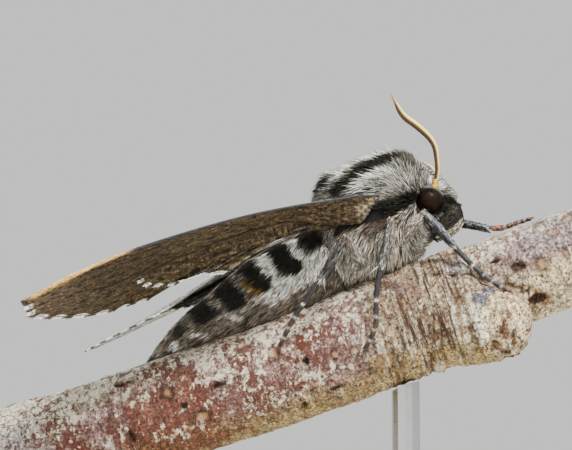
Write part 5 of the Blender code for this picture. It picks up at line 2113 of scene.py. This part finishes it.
@dataclass
class Perch:
    """The cut length of branch, with its fork and its broken stub.

    Each scar has its place, how far it reaches along and round the branch in millimetres, and its
    kind. The fissure is a line of places.
    """

    half_length: float = 31.0
    voxel: float = 0.19
    pores: int = 90
    way: Place = (0.953, 0.02, 0.302)
    stub_way: Place = (0.9, -0.42, -0.05)
    stub_end: Place = (22.3, -3.9, -10.7)
    end_hearts: tuple[Pair, Pair] = ((0.0, -24.3), (1.5, -2.7))
    scars: tuple[tuple[Place, float, float, Scar], ...] = (
        ((-15.7, -3.9, -16.2), 0.95, 0.35, Scar.SLIT), ((-11.2, -5.1, -17.3), 0.6, 0.7, Scar.PORE),
        ((-19.6, -4.8, -18.7), 0.55, 0.45, Scar.PORE), ((-7.8, -4.8, -19.6), 0.75, 0.6, Scar.PORE),
        ((-9.6, -5.2, -18.6), 0.35, 0.35, Scar.SLIT), ((-6.0, -5.3, -16.6), 0.8, 0.3, Scar.SLIT),
        ((-4.3, -5.4, -16.2), 0.5, 0.35, Scar.PORE), ((-0.7, -5.1, -13.5), 0.5, 0.5, Scar.PORE),
        ((2.5, -5.3, -14.3), 0.45, 0.45, Scar.SLIT), ((5.4, -3.8, -16.9), 0.95, 0.32, Scar.SLIT),
        ((10.0, -4.4, -14.3), 1.3, 1.2, Scar.KNOT), ((-12.6, -3.0, -14.4), 0.6, 0.5, Scar.PORE),
        ((2.2, -3.3, -18.5), 0.25, 0.6, Scar.SLIT), ((-14.8, -4.9, -21.5), 0.3, 0.7, Scar.SLIT),
        ((12.2, -5.1, -8.6), 0.25, 0.8, Scar.PORE), ((15.5, -5.2, -10.9), 0.25, 0.8, Scar.STAIN),
        ((21.0, -3.2, -4.4), 0.6, 0.26, Scar.SLIT), ((25.8, -3.3, -4.8), 0.55, 0.7, Scar.PORE),
        ((23.3, -3.3, -5.1), 0.7, 0.55, Scar.SLIT), ((25.3, -2.0, -8.1), 1.0, 0.6, Scar.SLIT),
        ((26.8, -2.5, -1.6), 0.6, 0.4, Scar.STAIN), ((28.1, -2.1, -0.4), 0.4, 0.4, Scar.STAIN),
        ((13.2, -3.3, -14.6), 0.3, 0.5, Scar.STAIN), ((19.7, -1.2, -2.5), 0.5, 0.18, Scar.SLIT),
        ((18.6, -2.2, -3.5), 0.5, 0.18, Scar.SLIT), ((17.6, -5.6, -8.5), 0.3, 0.5, Scar.STAIN))
    fissure: tuple[Place, ...] = (
        (15.1, -4.1, -5.7), (17.7, -4.2, -5.6), (19.9, -3.6, -6.1), (21.6, -4.4, -7.3), (23.2, -3.6, -8.1),
        (24.4, -1.9, -8.7))
    patches: tuple[Patch, ...] = (
        Patch((-10.5, -4.6, -20.6), 5.0, (0.14, 0.036, 0.015), 0.8),
        Patch((-2.0, -5.2, -18.0), 2.2, (0.15, 0.045, 0.02), 0.5),
        Patch((20.4, -7.0, -10.7), 1.6, (0.95, 0.87, 0.62)),
        Patch((18.9, -6.5, -9.9), 1.1, (0.72, 0.66, 0.47)),
        Patch((25.4, -2.4, -8.3), 1.5, (0.20, 0.085, 0.035), 0.8),
        Patch((20.4, -5.8, -8.1), 1.35, (0.10, 0.12, 0.155), 1.0),
        Patch((21.7, -6.4, -12.6), 0.9, (0.22, 0.07, 0.028)),
        Patch((20.1, -3.5, -2.7), 1.7, (0.20, 0.115, 0.11), 0.75),
        Patch((27.7, -3.6, -0.6), 1.6, (0.21, 0.12, 0.115), 0.7),
        Patch((23.9, -3.6, -10.2), 0.8, (0.20, 0.10, 0.05), 0.7),
        Patch((12.5, -5.0, -7.6), 1.3, (0.21, 0.12, 0.10), 0.6),
        Patch((10.0, -4.4, -14.3), 1.5, (0.42, 0.29, 0.12), 0.8),
        Patch((17.5, -3.6, -4.6), 1.4, (0.55, 0.53, 0.52), 0.7))

    GRAIN = Grain(SEED + 40)
    BARK_DEPTH = 0.12
    BLOCK_SIZE = (60, 80)
    BLOCK_DROP = 12
    CLEFT = 0.4
    SPLIT = 0.2
    HIGHEST = 0.36
    DEEPEST = -0.75

    GROUND = (0.225, 0.135, 0.12)
    CLOUD = (0.36, 0.26, 0.205)
    LEFT_GREY = (0.42, 0.38, 0.36)
    FORK_TAN = (0.33, 0.255, 0.155)
    FORK_MAUVE = (0.20, 0.145, 0.145)
    LIMB_TOP = (0.30, 0.25, 0.24)
    LIMB_BELOW = (0.55, 0.45, 0.27)
    LOW_OCHRE = (0.40, 0.28, 0.105)
    BROKEN_WOOD = (0.62, 0.50, 0.31)
    BROKEN_DARK = (0.14, 0.075, 0.035)
    SAWN_WOOD = (0.62, 0.47, 0.28)
    SAWN_RING = (0.36, 0.23, 0.11)
    SAWN_PITH = (0.22, 0.12, 0.05)
    SAWN_RAY = (0.25, 0.15, 0.07)
    SAWN_RIND = (0.13, 0.07, 0.04)
    # Colours laid in the fold troughs and on the fold crests: painted shade and painted light.
    FOLD_DARK = (0.09, 0.05, 0.035)
    FOLD_PALE = (0.62, 0.55, 0.46)

    def fused(self) -> Piece:
        """Fuse the three forms, saw the ends off and even out the mesh."""
        forms = []
        for name, path, radii in (("stem", STEM_AXIS, STEM_RADII), ("limb", LIMB_AXIS, LIMB_RADII),
                                  ("stub", STUB_AXIS, STUB_RADII)):
            radii = [radius - self.BARK_DEPTH for radius in radii]
            forms.append(Rod(path, radii, Side.LEFT, 6, 40).skin(name))
        stem, *others = forms
        bm = bmesh.new()
        bmesh.ops.create_cube(bm, size=1.0)
        bmesh.ops.scale(bm, vec=Vector((2 * self.half_length, *self.BLOCK_SIZE)) * MM, verts=bm.verts)
        bmesh.ops.translate(bm, vec=(0, 0, (DATUM[2] - self.BLOCK_DROP) * MM), verts=bm.verts)
        block = bpy.data.objects.new("saw", bpy.data.meshes.new("saw"))
        bm.to_mesh(block.data)
        bm.free()
        bpy.context.scene.collection.objects.link(block)
        for other in others:
            self.combine(stem, other, "UNION")
        self.combine(stem, block, "INTERSECT")
        for other in (*others, block):
            bpy.data.objects.remove(other)
        remesh = stem.modifiers.new("even", "REMESH")
        remesh.mode = "VOXEL"
        remesh.voxel_size = self.voxel * MM
        smooth = stem.modifiers.new("soften", "SMOOTH")
        smooth.factor, smooth.iterations = 0.5, 4
        self.apply(stem)
        stem.name = "branch"
        return stem

    @staticmethod
    def apply(thing: Piece) -> None:
        """Replace an object's mesh with its evaluated mesh."""
        bpy.context.view_layer.update()
        evaluated = thing.evaluated_get(bpy.context.evaluated_depsgraph_get())
        mesh = bpy.data.meshes.new_from_object(evaluated)
        thing.modifiers.clear()
        thing.data = mesh

    def combine(self, thing: Piece, other: Piece, way: str) -> None:
        """Combine an object with another."""
        step = thing.modifiers.new(way, "BOOLEAN")
        step.operation = way
        step.object = other
        step.solver = "EXACT"
        self.apply(thing)

    def all_scars(self, places: Array, draw: np.random.Generator) -> list[tuple[Array, float, float, Scar]]:
        """List the bark's scars: those that the photo shows, and small pores and stains all over."""
        found = [(np.array(place), along, round_it, kind) for place, along, round_it, kind in self.scars]
        for centre in places[draw.choice(len(places), self.pores, replace=False)]:
            kind = Scar.PORE if draw.random() < 0.45 else Scar.STAIN
            found.append((centre, draw.uniform(0.15, 0.42), draw.uniform(0.15, 0.5), kind))
        return found

    def scarred(self, places: Array) -> tuple[Array, Array, Array]:
        """Cut the scars and the fissure.

        Args:
            places: The bark's points.

        Returns:
            How much each point rises, how dark it is and how tan it is.
        """
        way = unit(np.array(self.way))
        uneven = 0.16 * self.GRAIN.layered(places + 30, 0.9)
        skew = np.column_stack([self.GRAIN.layered(places + part, 0.8, 2) for part in (60, 70, 80)])
        rise, dark, tan = (np.zeros(len(places)) for _ in range(3))
        for centre, along, round_it, kind in self.all_scars(places, np.random.default_rng(SEED + 41)):
            near = np.flatnonzero(np.abs(places - centre).max(axis=1) < 3.2 * max(along, round_it))
            apart = places[near] - centre
            apart = apart + 0.35 * min(along, round_it) * skew[near]
            on = apart @ way / along
            across = np.maximum(np.sum(apart ** 2, axis=1) - (on * along) ** 2, 0) / round_it ** 2
            far = np.sqrt(on ** 2 + across) * (1 + 2 * uneven[near])
            depth, darkness, tanness = kind.value
            ring = bell(far - 1.0, 0.32)
            rise[near] += 0.6 * depth * bell(far - 1.35, 0.4) - depth * smooth_fall(0.5, 1.15, far)
            if kind is Scar.KNOT:
                ring = np.maximum(ring, 0.8 * (np.cos(far * 11) > 0.5) * (far < 1.1))
            shaded = ring if tanness else smooth_fall(0.75, 1.1, far)
            dark[near] = np.maximum(dark[near], darkness * shaded)
            tan[near] = np.maximum(tan[near], tanness * smooth_fall(0.45, 0.85, far))
        line = smooth_path(self.fissure, 12)
        cleft = np.min(np.linalg.norm(places[:, None] - line[None], axis=2), axis=1)
        cleft = smooth_fall(0.1, 0.42, cleft + uneven)
        return rise - self.CLEFT * cleft, np.maximum(dark, 0.9 * cleft), tan

    def ground(self, places: Array, out: Array, broken: Array) -> Array:
        """Colour the bark's ground from stretch to stretch."""
        x, up, cloud = places[:, 0], out[:, 2], self.GRAIN.layered(places + 11, 3.2)
        mauve = smooth_step(0.05, 0.5, self.GRAIN.layered(places + 17, 2.4)) * smooth_step(8, 11, x)
        limb = smooth_step(22, 25, x)
        shade = washed(filled(self.GROUND, len(places)),
                       (self.CLOUD, smooth_step(0.0, 0.5, cloud) * 0.8),
                       (self.LEFT_GREY, smooth_fall(-28, -20, x + 3 * cloud)),
                       (self.FORK_TAN, smooth_step(6, 11, x + 2 * cloud) * smooth_fall(21, 24, x)),
                       (self.FORK_MAUVE, mauve * 0.7),
                       (self.LIMB_TOP, limb * smooth_step(-0.1, 0.4, up)),
                       (self.LIMB_BELOW, limb * smooth_fall(-0.3, 0.2, up)),
                       (self.LOW_OCHRE, smooth_step(0.25, 0.85, -up + 0.25 * cloud) * (1 - limb) * 0.9))
        uneven = 1 + 0.5 * self.GRAIN.layered(places + 77, 1.4)
        for patch in self.patches:
            apart = np.linalg.norm(places - patch.place, axis=1) * uneven
            shade = blend(shade, patch.shade, patch.strength * smooth_fall(0.75, 1.1, apart / patch.radius))
        wood = blend(filled(self.BROKEN_WOOD, len(places)), self.BROKEN_DARK,
                     smooth_step(0.0, 0.35, self.GRAIN.layered(places * (1, 1, 0.4) + 5, 0.9)))
        return washed(shade, (wood, broken), (self.sawn_wood(places), self.sawn(places, out)))

    def sawn(self, places: Array, out: Array) -> Array:
        """Tell which places are on the sawn ends."""
        near = smooth_step(self.half_length - 0.35, self.half_length - 0.15, np.abs(places[:, 0]))
        return near * smooth_step(0.6, 0.9, np.abs(out[:, 0]))

    def sawn_wood(self, places: Array) -> Array:
        """Colour the sawn ends: growth rings round a dark pith, with a brown rind."""
        apart = places[:, 1:] - np.where(places[:, :1] < 0, *self.end_hearts)
        far = np.linalg.norm(apart, axis=1) + 0.18 * self.GRAIN.layered(places * (0.1, 1, 1), 2.2, 2)
        rays = np.abs(np.sin(np.arctan2(apart[:, 1], apart[:, 0]) * 17))
        return washed(filled(self.SAWN_WOOD, len(places)),
                      (self.SAWN_RING, 0.5 + 0.5 * np.cos(far * 9.5)),
                      (self.SAWN_PITH, smooth_fall(0.3, 0.55, far)),
                      (self.SAWN_RAY, 0.35 * smooth_fall(0.0, 0.25, rays)),
                      (self.SAWN_RIND, smooth_step(4.25, 4.6, far)))

    def broken_wood(self, places: Array) -> Array:
        """Tell which places are on the broken end of the stub."""
        near = np.linalg.norm(places - self.stub_end, axis=1) < 4.6
        on_stub = near & (places[:, 1] < -0.6) & (places[:, 2] < -7.0)
        past = (places - self.stub_end) @ unit(np.array(self.stub_way))
        return smooth_step(-1.0, -0.3, past + 0.4 * self.GRAIN.layered(places + 3, 1.6)) * on_stub

    def patchy(self, places: Array, out: Array, folded: Array, broken: Array) -> tuple[Array, Array]:
        """Find where the bark is rusty and where it has chalk, more of it on top as painted light and less
        below as painted shade.

        Args:
            places: The bark's points.
            out: The way out at each.
            folded: How much each is folded.
            broken: How much each is broken wood.

        Returns:
            How rusty each point is, and how much chalk it has with painted light and shade.
        """
        x, up, cloud = places[:, 0], out[:, 2], self.GRAIN.layered(places + 7, 6.0)
        left = smooth_fall(3, 9, x + 2 * cloud)
        low = smooth_step(-0.2, 0.7, -up)
        rusty = left * (0.35 + 0.65 * smooth_step(-0.3, 0.3, cloud + 0.5 * low))
        rusty = rusty * (1 - 0.8 * smooth_step(0.7, 1.0, low))
        chalky = 0.55 * self.GRAIN.layered(places + 70, 3.0)
        # Chalk rises on the upward faces, painted light on the top of the branch, and falls on the downward
        # faces, painted shade below.
        chalky += 0.5 * smooth_step(0.1, 0.8, up) * (1 - folded)
        chalky += (0.2 * bell(x - 5.5, 4.5) - 1.2 * broken - 0.5 * smooth_step(0.4, 0.9, -up)
                   - 0.35 * smooth_step(18, 23, x))
        sawn = self.sawn(places, out)
        return rusty * (1 - sawn), chalky - 2.2 * sawn

    def build(self, shop: Workshop, finish: Material) -> None:
        """Make the branch with its bark."""
        piece, grain = self.fused(), self.GRAIN
        places, out = read_places(piece), read_normals(piece)
        x, way = places[:, 0], unit(np.array(self.way))
        lie = np.column_stack([places @ way, places[:, 1], places @ np.cross(way, (0, 1, 0))])
        broken = self.broken_wood(places)
        folded = np.clip(1.1 * bell(x - 14.5, 5.5), 0, 1) * (1 - broken)
        ridge = grain.layered(lie, (0.5, 5.0, 5.0))
        height = 0.17 * grain.layered(places, 5.5) + 0.10 * np.abs(grain.layered(places + 50, 1.5))
        height += (0.04 + 0.24 * folded) * ridge
        height += 0.05 * np.abs(grain.layered(lie + 90, (0.8, 2.6, 2.6), 2))
        height += broken * (0.3 * grain.layered(places, (1.6, 0.7, 0.9)) - 0.1)
        rise, dark, tan = self.scarred(places)
        split = broken * bell(grain.layered(places * (1, 1, 0.5) + 12, 1.1, 2), 0.06)
        dark, rise = np.maximum(dark, 0.85 * split), rise - self.SPLIT * split
        off_end = smooth_step(0.0, 0.6, self.half_length - np.abs(x))
        height = np.clip(height + rise, self.DEEPEST, self.HIGHEST) * off_end
        moved = (places + out * height[:, None] + DATUM) * MM
        piece.data.vertices.foreach_set("co", moved.astype(np.float32).ravel())
        piece.data.update()
        piece.data.shade_smooth()
        rusty, chalky = self.patchy(places, out, folded, broken)
        # Fold troughs darkened and fold crests lightened: painted shade and painted light.
        ground = washed(self.ground(places, out, broken),
                        (self.FOLD_DARK, folded * smooth_step(0.0, 0.4, -ridge) * 0.75),
                        (self.FOLD_PALE, folded * smooth_step(0.1, 0.5, ridge) * 0.6))
        values = {"grain": lie, "marking": ground, "folded": folded, "pit": dark, "heart": tan * (1 - dark),
                  "rusty": np.clip(rusty, 0, 1), "chalky": np.clip(chalky, -1, 1.5)}
        for name, found in values.items():
            write_values(piece, name, found)
        shop.hand_in(piece, finish, "bark", "perch_branch")


# Studio


@dataclass
class Studio:
    """Floor, lights and camera, in metres and degrees."""

    azimuth: float = 6.0
    elevation: float = -8.5
    distance: float = 0.260
    target: Place = (0.0, 0.0, 0.048)
    pixels_per_mm: float = 9.88
    photo_width: int = 572
    sensor: float = 36.0
    clip: Pair = (0.001, 20.0)
    floor_size: float = 3.0
    floor_drop: float = 0.00005
    room_shade: Shade = (0.98, 1.0, 0.97)
    room_power: float = 0.85

    def camera(self) -> None:
        """Set the camera at the photograph's viewing angle."""
        turn, rise = math.radians(self.azimuth), math.radians(self.elevation)
        back = Vector((math.sin(turn) * math.cos(rise), -math.cos(turn) * math.cos(rise), math.sin(rise)))
        data = bpy.data.cameras.new("camera")
        data.sensor_width = self.sensor
        data.lens = self.pixels_per_mm * self.distance / MM * self.sensor / self.photo_width
        data.clip_start, data.clip_end = self.clip
        made = bpy.data.objects.new("camera", data)
        made.location = Vector(self.target) + back * self.distance
        made.rotation_mode = "QUATERNION"
        made.rotation_quaternion = (-back).to_track_quat("-Z", "Y")
        bpy.context.scene.collection.objects.link(made)
        bpy.context.scene.camera = made

    def floor(self, finish: Material) -> None:
        """Lay the pale floor."""
        bm = bmesh.new()
        bmesh.ops.create_grid(bm, x_segments=8, y_segments=8, size=self.floor_size / 2)
        mesh = bpy.data.meshes.new("floor")
        bm.to_mesh(mesh)
        bm.free()
        made = bpy.data.objects.new("floor", mesh)
        made.location.z = -self.floor_drop
        made.data.materials.append(finish)
        bpy.context.scene.collection.objects.link(made)

    def lamp(self, name: str, place: Place, size: float, power: float, shade: Shade) -> None:
        """Hang a soft square lamp that faces the moth."""
        data = bpy.data.lights.new(name, "AREA")
        data.shape = "SQUARE"
        data.size, data.energy, data.color = size, power, shade
        made = bpy.data.objects.new(name, data)
        made.location = place
        made.rotation_mode = "QUATERNION"
        made.rotation_quaternion = (Vector(place) - Vector(self.target)).to_track_quat("Z", "Y")
        bpy.context.scene.collection.objects.link(made)

    def light(self) -> None:
        """Light the moth softly from above, with the room's own light all round."""
        world = bpy.data.worlds.new("room")
        world.use_nodes = True
        ground = world.node_tree.nodes["Background"]
        ground.inputs["Color"].default_value = (*self.room_shade, 1.0)
        ground.inputs["Strength"].default_value = self.room_power
        bpy.context.scene.world = world
        self.lamp("key", (0.14, -0.26, 0.36), 0.14, 4.2, (1.0, 0.98, 0.95))
        self.lamp("fill", (-0.34, -0.30, 0.16), 0.30, 0.4, (0.95, 0.98, 1.0))
        self.lamp("rim", (-0.1, 0.34, 0.34), 0.20, 1.4, (1.0, 1.0, 0.98))

    def build(self, finish: Material) -> None:
        """Set up the whole studio."""
        self.camera()
        self.floor(finish)
        self.light()


def main() -> None:
    """Build the looks piece by piece and note the sizes."""
    logging.basicConfig(level=logging.INFO, format="%(message)s")
    finishes = {
        "hair": HairFinish("coat hair").make(),
        "membrane": MembraneFinish("wing scales").make(),
        "shell": ShellFinish("leg scales").make(),
        "feeler": ShellFinish("feeler shell", (0.8, 1.25), 0.42).make(),
        "eye": EyeFinish("compound eye").make(),
        "amber": AmberFinish("amber shell").make(),
        "bark": BarkFinish("young bark").make(),
        "wood": WoodFinish("painted wood").make(),
        "steel": SteelFinish("brushed steel").make(),
        "paper": PaperFinish("studio paper").make(),
    }
    shop = Workshop()
    Studio().build(finishes["paper"])
    body = Body()
    bed = body.bed()
    build_skin(body, bed, shop, finishes["hair"])
    Coat().build(body, bed, shop, finishes["hair"])
    HeadParts().build(shop, finishes)
    FOREWING.build(shop, finishes)
    HINDWING.build(shop, finishes)
    build_legs(shop, finishes)
    Perch().build(shop, finishes["bark"])
    shop.dress("stand_base", finishes["wood"])
    for rod in ("stand_rod_back", "stand_rod_front"):
        shop.dress(rod, finishes["steel"])
    LOG.info("%d pieces, %d faces", shop.pieces, shop.faces)


if __name__ == "__main__":
    main()
